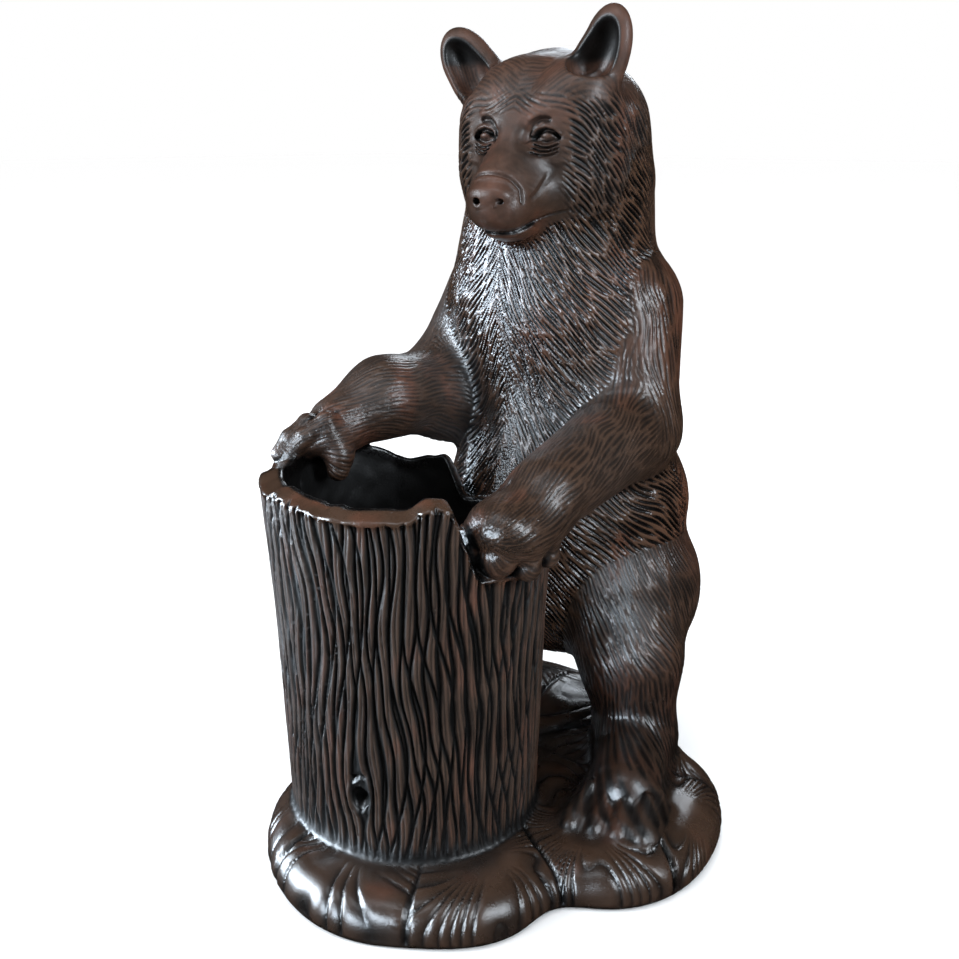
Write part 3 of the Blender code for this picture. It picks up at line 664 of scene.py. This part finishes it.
def bark_coat(p):
    """Wavy upright ridges that part and close, a smooth band under the rim, and the knot's ring; the hollow's
    inside is coloured black as painted shade.
    """
    x, y, z = p[0] - STUMP_X, p[1] - STUMP_Y, p[2]
    angle = np.arctan2(y, x)
    radius = np.hypot(x, y)
    rise = z / STUMP_HEIGHT
    knot_s = STUMP_RADIUS * (angle - KNOT_ANGLE) / KNOT_SIZE[0]
    knot_z = (z - KNOT_HEIGHT) / KNOT_SIZE[1]
    knot = np.sqrt(knot_s ** 2 + knot_z ** 2)
    shove = 0.055 * np.tanh(knot_s) * np.exp(-(knot / 2.4) ** 2)
    a = angle - shove
    wander = 1.9 * np.sin(3.1 * rise + 2.0 * angle) + 1.3 * np.sin(7.3 * rise - 3.0 * angle + 1.0)
    wander = wander + 0.9 * np.sin(13.0 * rise + 7.0 * angle) + 0.35 * np.sin(27.0 * rise - 13.0 * angle)
    main = np.abs(np.sin(0.5 * BARK_FLUTES * a + wander))
    splits = np.abs(np.sin(0.5 * BARK_SPLITS * a - 1.7 * np.sin(4.6 * rise + 3.0 * angle + 2.0)
                           - 1.4 * np.sin(9.7 * rise - 5.0 * angle)))
    fine = np.abs(np.sin(0.5 * 203 * a + 1.6 * wander + 1.1 * np.sin(17.0 * rise + 5.0 * angle)))
    ridge = smooth_step(0.08, 0.80, np.minimum(main, 0.05 + 1.35 * splits))
    height = ridge * (0.62 + 0.38 * fine)
    edge = rim_height(angle) - RIM_BAND - 0.0022 * np.abs(np.sin(21.0 * angle + 1.5 * np.sin(8.0 * angle)))
    edge = edge - 0.0020 * np.sin(5.0 * angle + 1.0)
    band = smooth_step(-0.0008, 0.0008, z - edge)
    inner = smooth_step(-0.007, -0.012, radius - STUMP_RADIUS * (0.97 + 0.09 * (rise - 0.5)))
    lift = BARK_DEPTH * (height - 0.80)
    lift = lift + 0.0022 * np.exp(-((knot - 1.55) / 0.33) ** 2)
    lumps = np.exp(-((knot_s - 0.2) / 1.9) ** 2 - ((knot_z - 1.9) / 0.6) ** 2)
    lift = lift + 0.0030 * lumps * drift(p, 0.012, 6.0)
    hole = smooth_step(1.1, 0.8, knot)
    foot = smooth_step(MOUND_HEIGHT + 0.004, MOUND_HEIGHT + 0.024, z)
    lift = lift * (1.0 - hole) * (0.15 + 0.85 * foot)
    lift = lift * (1.0 - band) + band * (RIM_STEP * 0.5 + 0.0005 * drift(p, 0.02, 7.0))
    tall = (0.94 * height * (0.35 + 0.65 * foot)) * (1.0 - band) + 0.85 * band
    # Painted shade: inside the hollow the height is set to nothing, so the inner wall is coloured near black.
    return lift * (1.0 - inner) + inner * 0.0006 * drift(p, 0.03, 8.0), tall * (1.0 - inner)


# Where the mound's leaves fan out from: plan in metres, and how many grooves lie around
LEAF_FANS = (
    (0.034, -0.222, 23), (-0.075, -0.205, 19), (-0.140, -0.140, 21), (0.125, -0.170, 27),
    (0.180, -0.070, 44), (0.232, 0.010, 46), (0.165, 0.120, 34), (0.060, 0.165, 26),
    (-0.060, 0.165, 26), (-0.165, 0.120, 34), (-0.225, 0.020, 42), (-0.180, -0.070, 40),
)


def leaf_coat(p):
    """Overlapping leaves on the mound, each a fan of curved ridges."""
    x, y, z = p[0], p[1], p[2]
    best = np.full(x.shape, 9.0, dtype=np.float32)
    second = best.copy()
    height = np.zeros_like(best)
    for number, (fan_x, fan_y, grooves) in enumerate(LEAF_FANS):
        dx, dy = x - fan_x, y - fan_y
        away = np.sqrt(dx * dx + dy * dy)
        theta = np.arctan2(dy, dx)
        lead = away + 0.006 * np.sin(3.0 * theta + number)
        closer = lead < best
        bow = (5.0 if number % 2 else -5.0) * away
        turned = theta + bow + 0.18 * np.sin(5.0 * theta + 2.0 * number)
        turned = turned + 0.25 * np.sin(2.0 * theta + number)
        row = grooves * turned / (2.0 * math.pi)
        share = row - np.floor(row)
        blade = 0.5 * smooth_step(0.0, 0.22, share) * (1.0 - 0.75 * share)
        blade = blade + 0.5 * np.sin(math.pi * share) ** 0.6
        deep = 0.45 + 0.55 * scatter(np.floor(row), number + 1.0)
        shape = 1.0 - (1.0 - blade) * deep * smooth_step(0.020, 0.060, away)
        second = np.where(closer, best, np.minimum(second, lead))
        height = np.where(closer, shape, height)
        best = np.where(closer, lead, best)
    seam = np.clip(1.0 - (second - best) / 0.006, 0.0, 1.0)
    height = height * (1.0 - seam)
    flank = smooth_step(-0.058, -0.030, mound_plan(p) + 0.006 * drift(p, 0.05, 9.0))
    shown = smooth_step(0.003, 0.009, z) * (0.22 + 0.78 * flank)
    lift = LEAF_DEPTH * (height - 0.60) * shown
    return lift, 0.82 * (0.20 + 0.80 * height) * shown + 0.50 * (1.0 - shown)


COATS = {
    "stump": bark_coat, "mound": leaf_coat, "torso": torso_coat, "left_arm": left_arm_coat,
    "right_arm": right_arm_coat, "left_leg": lambda p: leg_coat(p, 1.0),
    "right_leg": lambda p: leg_coat(p, -1.0), "head": head_coat,
}
REGIONS = list(COATS)

# The pieces that the skin is parted into: the torso is in two, above and below the waist
PIECES = REGIONS + ["lower_torso"]
WAIST = 0.47 * BEAR_HEIGHT


def carving(p):
    """How far the carving lifts the skin at p, its height from 0 to 1, lowered as painted shade in some
    hollows and on the legs, and the region of each point.
    """
    values = np.stack([near_form(p, *FORMS[name][:3]) for name in REGIONS])
    nearest = values.min(axis=0)
    shares = np.exp((nearest - values) / COAT_BLEND)
    shares = shares / shares.sum(axis=0)
    lift, tall = np.zeros_like(nearest), np.zeros_like(nearest)
    for name, share in zip(REGIONS, shares):
        use = share > 0.02
        if use.any():
            raised, height = COATS[name](p[:, use])
            lift[use] += share[use] * raised
            tall[use] += share[use] * height
    above = smooth_step(0.001, 0.006, p[2])
    return np.stack([lift * above, tall, values.argmin(axis=0).astype(np.float32)])


def sample(field, points, rows=1):
    """Field values at points, worked out in blocks side by side."""
    out = np.empty((rows, points.shape[1]), dtype=np.float32)

    def work(start):
        out[:, start:start + BLOCK] = field(points[:, start:start + BLOCK])

    with ThreadPoolExecutor(4) as pool:
        list(pool.map(work, range(0, points.shape[1], BLOCK)))
    return out[0] if rows == 1 else out


def sampled_grid(field, low, high, cell):
    """Values of the field on a grid: exact near the surface, rough but of the right sign elsewhere."""
    coarse = 4
    blocks = [int(math.ceil((h - l) / (cell * coarse))) for l, h in zip(low, high)]
    axes = [l + cell * coarse * np.arange(n + 1) for l, n in zip(low, blocks)]
    centres = [a[:-1] + cell * (coarse - 1) / 2.0 for a in axes]
    mesh = np.meshgrid(*centres, indexing="ij")
    rough = sample(field, np.stack([m.ravel() for m in mesh]).astype(np.float32))
    values = rough.reshape([len(c) for c in centres])
    for axis in range(3):
        values = np.repeat(values, coarse, axis=axis)
    index = np.nonzero(np.abs(values) < cell * coarse * 1.5)
    points = np.stack([(l + cell * i).astype(np.float32) for l, i in zip(low, index)])
    values[index] = sample(field, points)
    return values


def skin(field, low, high, cell):
    """Vertices and quads of the field's zero surface, with one vertex in each cell that it crosses."""
    values = sampled_grid(field, low, high, cell)
    inside = values < 0.0
    strides = np.array((values.shape[1] * values.shape[2], values.shape[2], 1))
    cells, sums, quads = [], [], []
    for axis in range(3):
        first = [slice(None)] * 3
        second = [slice(None)] * 3
        first[axis], second[axis] = slice(0, -1), slice(1, None)
        at = np.stack(np.nonzero(inside[tuple(first)] != inside[tuple(second)]), axis=1)
        flat = at @ strides
        start, end = values.ravel()[flat], values.ravel()[flat + strides[axis]]
        where = at.astype(np.float32)
        where[:, axis] += start / (start - end)
        u, v = (axis + 1) % 3, (axis + 2) % 3
        ring = [flat - strides[u] * a - strides[v] * b for a, b in ((0, 0), (1, 0), (1, 1), (0, 1))]
        for corner in ring:
            cells.append(corner)
            sums.append(where)
        quad = np.stack(ring, axis=1)
        quads.append(np.where((start < 0.0)[:, None], quad, quad[:, ::-1]))
    cells = np.concatenate(cells)
    sums = np.concatenate(sums)
    names, numbers = np.unique(cells, return_inverse=True)
    count = np.bincount(numbers)
    corners = np.stack([np.bincount(numbers, weights=sums[:, i]) / count for i in range(3)], axis=1)
    faces = np.searchsorted(names, np.concatenate(quads))
    return (corners * cell + np.array(low)).astype(np.float32), faces


def slope_of(field, p, step):
    """The field's slope at points, by differences."""
    shifts = [column(np.eye(3)[i] * step) for i in range(3)]
    return np.stack([sample(field, p + s) - sample(field, p - s) for s in shifts]) / (2.0 * step)


def settled(field, vertices, cell):
    """Vertices moved onto the field's surface along its slope, and the surface's normals there."""
    p = np.ascontiguousarray(vertices.T)
    slope = slope_of(field, p, 0.3 * cell)
    for _ in range(2):
        shift = sample(field, p) * slope / np.maximum((slope * slope).sum(axis=0), 0.25)
        size = np.maximum(length(shift), 1e-9)
        p = p - shift * np.minimum(1.0, 0.5 * cell / size)
    slope = slope_of(field, p, 0.6 * cell)
    return p, slope / np.maximum(length(slope), 1e-6)


def wear(p):
    """Where the brown is rubbed through to a redder tone, from 0 to 1."""
    spots = (
        ((24, -165, 620), 0.034), ((12, -128, 668), 0.028), ((30, -95, 722), 0.044), ((-24, -80, 722), 0.034),
        ((122, 10, 505), 0.050), ((60, -60, 520), 0.030), ((128, -60, 120), 0.040), ((165, -150, 60), 0.030),
        ((110, -270, 335), 0.022), ((-100, -240, 395), 0.025), ((-112, 40, 380), 0.060),
        ((100, 60, 260), 0.060), ((0, 105, 420), 0.080), ((-150, -100, 60), 0.050), ((0, 90, 250), 0.060),
        ((74, -49, 757), 0.045), ((-70, -74, 746), 0.045), ((20, -140, 600), 0.030),
    )
    worn = np.zeros(p.shape[1], dtype=np.float32)
    for at, reach in spots:
        worn = np.maximum(worn, np.exp(-(length(p - column(place(*at))) / (1.15 * reach)) ** 2))
    patches = smooth_step(0.25, 0.75, drift(p * column((1.0, 1.0, 0.5)), 0.085, 3.0))
    rust = smooth_step(0.30, 0.60, drift(p * column((1.0, 1.0, 0.6)), 0.048, 11.0))
    stump_only = (np.hypot(p[0] - STUMP_X, p[1] - STUMP_Y) < 1.09 * STUMP_RADIUS) & (p[2] > 0.05)
    return np.clip(worn + 0.55 * patches + 0.55 * rust * stump_only, 0.0, 1.0)


# What the skin holds at each vertex for its shading, each from 0 to 1: height with some painted shade,
# painted shade in crevices, wear and mattness
FINISH = ("crest_and_shade", "painted_crevice_shade", "worn", "matt")

# How matt the resin is by region, from 0 to 1, before the spots below
MATT = {"stump": 0.75, "mound": 0.22, "torso": 0.05, "left_arm": 0.25, "right_arm": 0.45, "left_leg": 0.40,
        "right_leg": 0.45, "head": 0.60}


def matt(p, region):
    """How matt the resin is: dull on the brow and forearms, bright on the throat, rim and paws."""
    base = np.array([MATT[name] for name in REGIONS], dtype=np.float32)[region]
    spots = (
        ((10, -80, 715), 0.060, 0.95), ((18, -130, 665), 0.035, 0.85), ((110, -140, 380), 0.075, 0.90),
        ((74, -49, 757), 0.045, 1.0), ((-70, -74, 746), 0.045, 1.0), ((46, -99, 664), 0.010, 0.0),
        ((-17, -110, 664), 0.010, 0.0), ((20, -150, 600), 0.025, 0.9), ((-100, -130, 415), 0.070, 0.80),
        ((20, -90, 560), 0.060, 0.0), ((60, -110, 500), 0.05, 0.05), ((124, -268, 337), 0.024, 0.10),
        ((60, -45, 735), 0.022, 0.30), ((0, 100, 600), 0.09, 0.5), ((150, -40, 130), 0.05, 0.2),
        ((185, -160, 50), 0.03, 0.15),
    )
    for at, reach, value in spots:
        share = np.exp(-(length(p - column(place(*at))) / reach) ** 2)
        base = base * (1.0 - share) + value * share
    x, y = p[0] - STUMP_X, p[1] - STUMP_Y
    rim = smooth_step(-0.016, -0.010, p[2] - rim_height(np.arctan2(y, x)))
    return base * (1.0 - 0.8 * rim * (region == REGIONS.index("stump")))


def surface(p):
    """The finish at points of the carved skin: height, painted shade in crevices, wear, mattness and the
    piece.
    """
    value, slope = casting(p), np.zeros_like(p)
    for axis in range(3):
        shift = column(np.eye(3)[axis] * 0.001)
        slope[axis] = casting(p + shift) - casting(p - shift)
    normal = slope / np.maximum(length(slope), 1e-6)
    base = p - normal * value
    lift, tall, region = carving(base)
    # Painted shade: how closely the skin is enclosed within a short reach, later blended towards black in the
    # colour.
    painted_crevice_shade = np.clip(1.0 - casting(base + normal * CREVICE_SHADE_REACH) / CREVICE_SHADE_REACH, 0.0, 1.0)
    dull = matt(base, region.astype(np.int64))
    below = (region == REGIONS.index("torso")) & (p[2] < WAIST)
    return np.stack([tall, painted_crevice_shade, wear(base), dull, np.where(below, PIECES.index("lower_torso"), region)])


def new_mesh(name, vertices, faces):
    """A mesh from arrays of places and of triangles or quads."""
    mesh = bpy.data.meshes.new(name)
    corners = faces.shape[1]
    mesh.vertices.add(len(vertices))
    mesh.vertices.foreach_set("co", np.ascontiguousarray(vertices, dtype=np.float32).ravel())
    mesh.loops.add(faces.size)
    mesh.loops.foreach_set("vertex_index", np.ascontiguousarray(faces, dtype=np.int32).ravel())
    mesh.polygons.add(len(faces))
    mesh.polygons.foreach_set("loop_start", np.arange(0, faces.size, corners, dtype=np.int32))
    mesh.update(calc_edges=True)
    return mesh


def read(items, attribute, kind):
    """Three values of each item, as rows."""
    values = np.empty(3 * len(items), dtype=kind)
    items.foreach_get(attribute, values)
    return values.reshape(-1, 3)


def thinned(vertices, faces, triangles):
    """The same skin with fewer triangles where it is plain."""
    mesh = new_mesh("whole_skin", vertices, faces)
    whole = bpy.data.objects.new("whole_skin", mesh)
    bpy.context.scene.collection.objects.link(whole)
    fewer = whole.modifiers.new("fewer", "DECIMATE")
    fewer.ratio = min(1.0, triangles / (2.0 * len(faces)))
    fewer.use_collapse_triangulate = True
    result = whole.evaluated_get(bpy.context.evaluated_depsgraph_get()).to_mesh()
    result.calc_loop_triangles()
    places = read(result.vertices, "co", np.float32)
    normals = read(result.vertices, "normal", np.float32)
    corners = read(result.loop_triangles, "vertices", np.int32)
    bpy.data.objects.remove(whole, do_unlink=True)
    bpy.data.meshes.remove(mesh)
    return places, normals, corners


def edge_pairs(faces):
    """Pairs of faces that share an edge."""
    edges = np.concatenate([faces[:, (0, 1)], faces[:, (1, 2)], faces[:, (2, 0)]])
    owner = np.tile(np.arange(len(faces)), 3)
    edges.sort(axis=1)
    key = edges[:, 0].astype(np.int64) * (faces.max() + 1) + edges[:, 1]
    order = np.argsort(key, kind="stable")
    key, owner = key[order], owner[order]
    same = np.nonzero(key[1:] == key[:-1])[0]
    return np.stack([owner[same], owner[same + 1]], axis=1)


def islands(count, pairs):
    """A number for each item, the same for all that are linked by pairs."""
    label = np.arange(count)
    while True:
        a, b = label[pairs[:, 0]], label[pairs[:, 1]]
        lower = np.minimum(a, b)
        joined = label.copy()
        np.minimum.at(joined, a, lower)
        np.minimum.at(joined, b, lower)
        for _ in range(4):
            joined = joined[joined]
        if (joined == label).all():
            return label
        label = joined


def face_regions(faces, region):
    """The piece of each face: its corners' own, with small islands given to the piece around them."""
    own = region[faces].min(axis=1)
    pairs = edge_pairs(faces)
    for _ in range(6):
        linked = pairs[own[pairs[:, 0]] == own[pairs[:, 1]]]
        island = islands(len(faces), linked)
        sizes = np.bincount(island, minlength=len(faces))
        largest = np.zeros(len(PIECES), dtype=np.int64)
        np.maximum.at(largest, own, sizes[island])
        small = sizes[island] < np.maximum(60, 0.02 * largest[own])
        edge = pairs[own[pairs[:, 0]] != own[pairs[:, 1]]]
        edge = np.concatenate([edge, edge[:, ::-1]])
        edge = edge[small[edge[:, 0]]]
        if not len(edge):
            break
        taken = np.full(len(faces), -1)
        taken[island[edge[:, 0]]] = own[edge[:, 1]]
        change = small & (taken[island] >= 0)
        own = np.where(change, taken[island], own)
    return own


def capped(vertices, faces):
    """A piece's faces with its open edges closed: each loop is fanned to a point in its middle."""
    edges = np.concatenate([faces[:, (0, 1)], faces[:, (1, 2)], faces[:, (2, 0)]])
    span = int(faces.max()) + 1
    key = edges[:, 0].astype(np.int64) * span + edges[:, 1]
    back = edges[:, 1].astype(np.int64) * span + edges[:, 0]
    rim = edges[~np.isin(key, back)]
    if not len(rim):
        return vertices, faces
    names, numbers = np.unique(rim, return_inverse=True)
    numbers = numbers.reshape(-1, 2)
    loop = islands(len(names), numbers)[numbers[:, 0]]
    loops, loop = np.unique(loop, return_inverse=True)
    middle = np.stack([np.bincount(loop, weights=vertices[rim[:, 0], i]) for i in range(3)], axis=1)
    middle = middle / np.bincount(loop)[:, None]
    caps = np.stack([rim[:, 1], rim[:, 0], len(vertices) + loop], axis=1)
    return np.concatenate([vertices, middle.astype(np.float32)]), np.concatenate([faces, caps])


def part_into_pieces(vertices, normals, faces, finish, material):
    """The casting's pieces, each one closed object, whose carving and shading run on across the joins."""
    own = face_regions(faces, finish[-1].astype(np.int64))
    made = []
    for number, name in enumerate(PIECES):
        mine = faces[own == number]
        used, numbers = np.unique(mine, return_inverse=True)
        places, closed = capped(vertices[used], numbers.reshape(-1, 3))
        extra = len(places) - len(used)
        mesh = new_mesh(name, places, closed)
        for attribute, values in zip(FINISH, finish):
            held = mesh.attributes.new(attribute, "FLOAT", "POINT")
            held.data.foreach_set("value", np.append(values[used], np.zeros(extra, dtype=np.float32)))
        mesh.materials.append(material)
        mesh.shade_smooth()
        shading = np.concatenate([normals[used], np.tile((0.0, 0.0, 1.0), (extra, 1))])
        mesh.normals_split_custom_set_from_vertices(shading.tolist())
        thing = bpy.data.objects.new("casting_" + name, mesh)
        bpy.context.scene.collection.objects.link(thing)
        made.append(thing)
        print(name, len(closed), "triangles")
    return made


class Nodes:
    """Makes and links the nodes of one tree."""

    def __init__(self, tree):
        self.tree = tree

    def add(self, kind, inputs=None, **settings):
        node = self.tree.nodes.new("ShaderNode" + kind)
        for name, value in settings.items():
            setattr(node, name, value)
        for name, value in (inputs or {}).items():
            if isinstance(value, bpy.types.NodeSocket):
                self.tree.links.new(value, node.inputs[name])
            else:
                node.inputs[name].default_value = value
        return node

    def noise(self, scale, detail, roughness):
        at = self.add("TexCoord").outputs["Object"]
        inputs = {"Vector": at, "Scale": scale, "Detail": detail, "Roughness": roughness}
        return self.add("TexNoise", inputs).outputs["Fac"]

    def ramp(self, value, stops):
        node = self.add("ValToRGB", {"Fac": value})
        node.color_ramp.elements.remove(node.color_ramp.elements[1])
        for n, (at, shade) in enumerate(stops):
            stop = node.color_ramp.elements[0] if n == 0 else node.color_ramp.elements.new(at)
            stop.position = at
            stop.color = tuple(shade) + (1.0,)
        return node.outputs["Color"]

    def blend(self, share, a, b):
        node = self.add("Mix", data_type="RGBA")
        for name, value in (("Factor", share), ("A", a), ("B", b)):
            socket = [s for s in node.inputs if s.name == name and (name == "Factor" or s.type == "RGBA")][0]
            if isinstance(value, bpy.types.NodeSocket):
                self.tree.links.new(value, socket)
            else:
                socket.default_value = value if name == "Factor" else tuple(value) + (1.0,)
        return [s for s in node.outputs if s.type == "RGBA"][0]

    def sum(self, operation, a, b=0.5, c=0.5):
        node = self.add("Math", operation=operation)
        for n, value in enumerate((a, b, c)):
            if isinstance(value, bpy.types.NodeSocket):
                self.tree.links.new(value, node.inputs[n])
            else:
                node.inputs[n].default_value = value
        return node.outputs[0]


BLACK = (0.0016, 0.0013, 0.0012)


def cast_resin():
    """Dark brown cast resin: black in the carving, redder where worn, finely pitted, under a clear gloss,
    with painted shade blackening its crevices and hollows.
    """
    material = bpy.data.materials.new("cast_resin")
    material.use_nodes = True
    nodes = Nodes(material.node_tree)
    shader = material.node_tree.nodes["Principled BSDF"]
    crest_and_shade, painted_crevice_shade, worn, dull = (nodes.add("Attribute", attribute_name=name).outputs["Fac"]
                                  for name in FINISH)
    cloud, speck, grain = (nodes.noise(*values) for values in ((22.0, 5.0, 0.62), (420.0, 3.0, 0.7),
                                                               (1500.0, 2.0, 0.6)))
    uneven = nodes.sum("MULTIPLY_ADD", cloud, 0.50, -0.25)
    # The height also carries painted shade: ear hollows, the stump's inside and the legs are set lower, so
    # darker.
    rubbed = nodes.sum("ADD", crest_and_shade, uneven)
    brown = nodes.ramp(rubbed, ((0.18, BLACK), (0.46, (0.010, 0.0068, 0.0053)),
                                (0.72, (0.027, 0.0152, 0.0096)), (0.98, (0.054, 0.0292, 0.0178))))
    red = nodes.ramp(rubbed, ((0.18, (0.0020, 0.0014, 0.0012)), (0.50, (0.018, 0.0085, 0.0058)),
                              (0.92, (0.088, 0.034, 0.019))))
    patch = nodes.sum("MULTIPLY", worn, nodes.ramp(cloud, ((0.36, (0.25,) * 3), (0.62, (1.0,) * 3))))
    colour = nodes.blend(patch, brown, red)
    # Painted shade: crevices and hollows are blended towards black.
    painted_shade = nodes.ramp(painted_crevice_shade, ((0.10, (0.0,) * 3), (0.75, (1.0,) * 3)))
    colour = nodes.blend(painted_shade, colour, BLACK)
    dust = nodes.ramp(speck, ((0.66, (0.0,) * 3), (0.80, (0.35,) * 3)))
    colour = nodes.blend(dust, colour, (0.07, 0.055, 0.046))
    material.node_tree.links.new(colour, shader.inputs["Base Color"])
    rough = nodes.sum("MULTIPLY_ADD", cloud, 0.22, 0.10)
    rough = nodes.sum("MULTIPLY_ADD", dull, 0.34, rough)
    material.node_tree.links.new(rough, shader.inputs["Roughness"])
    shader.inputs["IOR"].default_value = 1.50
    shader.inputs["Specular IOR Level"].default_value = 0.55
    shader.inputs["Coat Weight"].default_value = 0.12
    shader.inputs["Coat Roughness"].default_value = 0.12
    shader.inputs["Coat IOR"].default_value = 1.50
    pits = nodes.add("Bump", {"Height": speck, "Strength": 0.35, "Distance": 0.0006})
    fine = nodes.add("Bump", {"Height": grain, "Strength": 0.25, "Distance": 0.0003,
                              "Normal": pits.outputs["Normal"]})
    material.node_tree.links.new(fine.outputs["Normal"], shader.inputs["Normal"])
    material.node_tree.links.new(pits.outputs["Normal"], shader.inputs["Coat Normal"])
    return material


def make_statue():
    """The carved skin, parted into pieces that replace the solid."""
    margin = 0.012
    low = [value - margin for value in cad_box[0]]
    high = [value + margin for value in cad_box[1]]
    vertices, faces = skin(casting, low, high, CELL)
    p, normal = settled(casting, vertices, CELL)
    lift = sample(carving, p, 3)[0]
    places, normals, corners = thinned((p + normal * lift).T, faces, TRIANGLES)
    finish = sample(surface, np.ascontiguousarray(places.T), 5)
    for piece in part_into_pieces(places, normals, corners, finish, cast_resin()):
        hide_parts("bear_statue")
        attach(piece, "root")


def floor():
    """A plain pale floor."""
    size = 30.0
    corners = np.array(((-1, -1, 0), (1, -1, 0), (1, 1, 0), (-1, 1, 0)), dtype=np.float32) * size
    mesh = new_mesh("floor", corners, np.array(((0, 1, 2, 3),)))
    material = bpy.data.materials.new("pale_floor")
    material.use_nodes = True
    shader = material.node_tree.nodes["Principled BSDF"]
    shader.inputs["Base Color"].default_value = (0.80, 0.80, 0.80, 1.0)
    shader.inputs["Roughness"].default_value = 0.9
    shader.inputs["Specular IOR Level"].default_value = 0.1
    mesh.materials.append(material)
    ground = bpy.data.objects.new("floor", mesh)
    ground.visible_glossy = False
    bpy.context.scene.collection.objects.link(ground)


def softbox(name, at, size, power, colour):
    """A rectangular soft light at a place, turned to the middle of the statue."""
    light = bpy.data.lights.new(name, "AREA")
    light.shape = "RECTANGLE"
    light.size, light.size_y = size
    light.energy = power
    light.color = colour
    lamp = bpy.data.objects.new(name, light)
    lamp.location = at
    lamp.rotation_euler = (Vector((0.0, 0.0, 0.40)) - Vector(at)).to_track_quat("-Z", "Y").to_euler()
    bpy.context.scene.collection.objects.link(lamp)
    return lamp


def lights():
    """The lights and the pale surroundings; gives back the two that only make highlights."""
    daylight = (0.84, 0.92, 1.0)
    skylight = (0.74, 0.87, 1.0)
    softbox("window_left", (-1.25, -1.75, 1.2), (0.9, 1.3), 56.0, daylight)
    softbox("window_right", (2.1, -0.1, 1.2), (0.5, 1.1), 34.0, daylight)
    softbox("overhead", (0.3, -0.9, 2.3), (1.2, 0.5), 7.0, daylight)
    gleam = softbox("gleam", (-1.35, -1.35, 0.60), (1.4, 1.1), 170.0, skylight)
    front = softbox("front", (0.25, -2.1, 0.60), (1.1, 0.9), 75.0, skylight)
    gleam.visible_diffuse = front.visible_diffuse = False
    softbox("behind", (-0.9, 1.9, 1.6), (0.7, 1.1), 24.0, daylight)
    world = bpy.data.worlds.new("studio")
    bpy.context.scene.world = world
    world.use_nodes = True
    world.node_tree.nodes["Background"].inputs["Color"].default_value = (1.0, 1.0, 1.0, 1.0)
    world.node_tree.nodes["Background"].inputs["Strength"].default_value = 1.0
    world.cycles_visibility.glossy = False
    sun = bpy.data.lights.new("room", "SUN")
    sun.energy = 1.05
    sun.angle = math.radians(60.0)
    lamp = bpy.data.objects.new("room", sun)
    lamp.visible_glossy = False
    lamp.rotation_euler = (math.radians(20.0), math.radians(-10.0), 0.0)
    bpy.context.scene.collection.objects.link(lamp)
    bpy.context.scene.view_settings.view_transform = "Standard"
    return gleam, front


def shade_from(light, spared):
    """Keeps a light off some pieces of the casting, as a photographer's flag does."""
    lit = bpy.data.collections.new("lit_by_" + light.name)
    for name in PIECES:
        if name not in spared:
            lit.objects.link(bpy.data.objects["casting_" + name])
    light.light_linking.receiver_collection = lit


# The photograph's camera, found from the outline of the casting
CAMERA_AT = (0.682, -0.837, 0.68)
CAMERA_AZIMUTH = math.radians(40.0)
CAMERA_PITCH = math.radians(17.4)
FOCAL_PIXELS = 1102.0
FRAME_PIXELS = 959.0
SENSOR_WIDTH = 36.0


def camera():
    lens = bpy.data.cameras.new("camera")
    lens.sensor_width = SENSOR_WIDTH
    lens.lens = FOCAL_PIXELS / FRAME_PIXELS * SENSOR_WIDTH
    lens.clip_start = 0.05
    eye_piece = bpy.data.objects.new("camera", lens)
    eye_piece.location = CAMERA_AT
    level = math.cos(CAMERA_PITCH)
    across, along = -math.sin(CAMERA_AZIMUTH) * level, math.cos(CAMERA_AZIMUTH) * level
    ahead = Vector((across, along, -math.sin(CAMERA_PITCH)))
    eye_piece.rotation_euler = ahead.to_track_quat("-Z", "Y").to_euler()
    bpy.context.scene.collection.objects.link(eye_piece)
    bpy.context.scene.camera = eye_piece


camera()
side_gleam, front_gleam = lights()
floor()
make_statue()
shade_from(side_gleam, ("head",))
shade_from(front_gleam, ("head", "stump"))
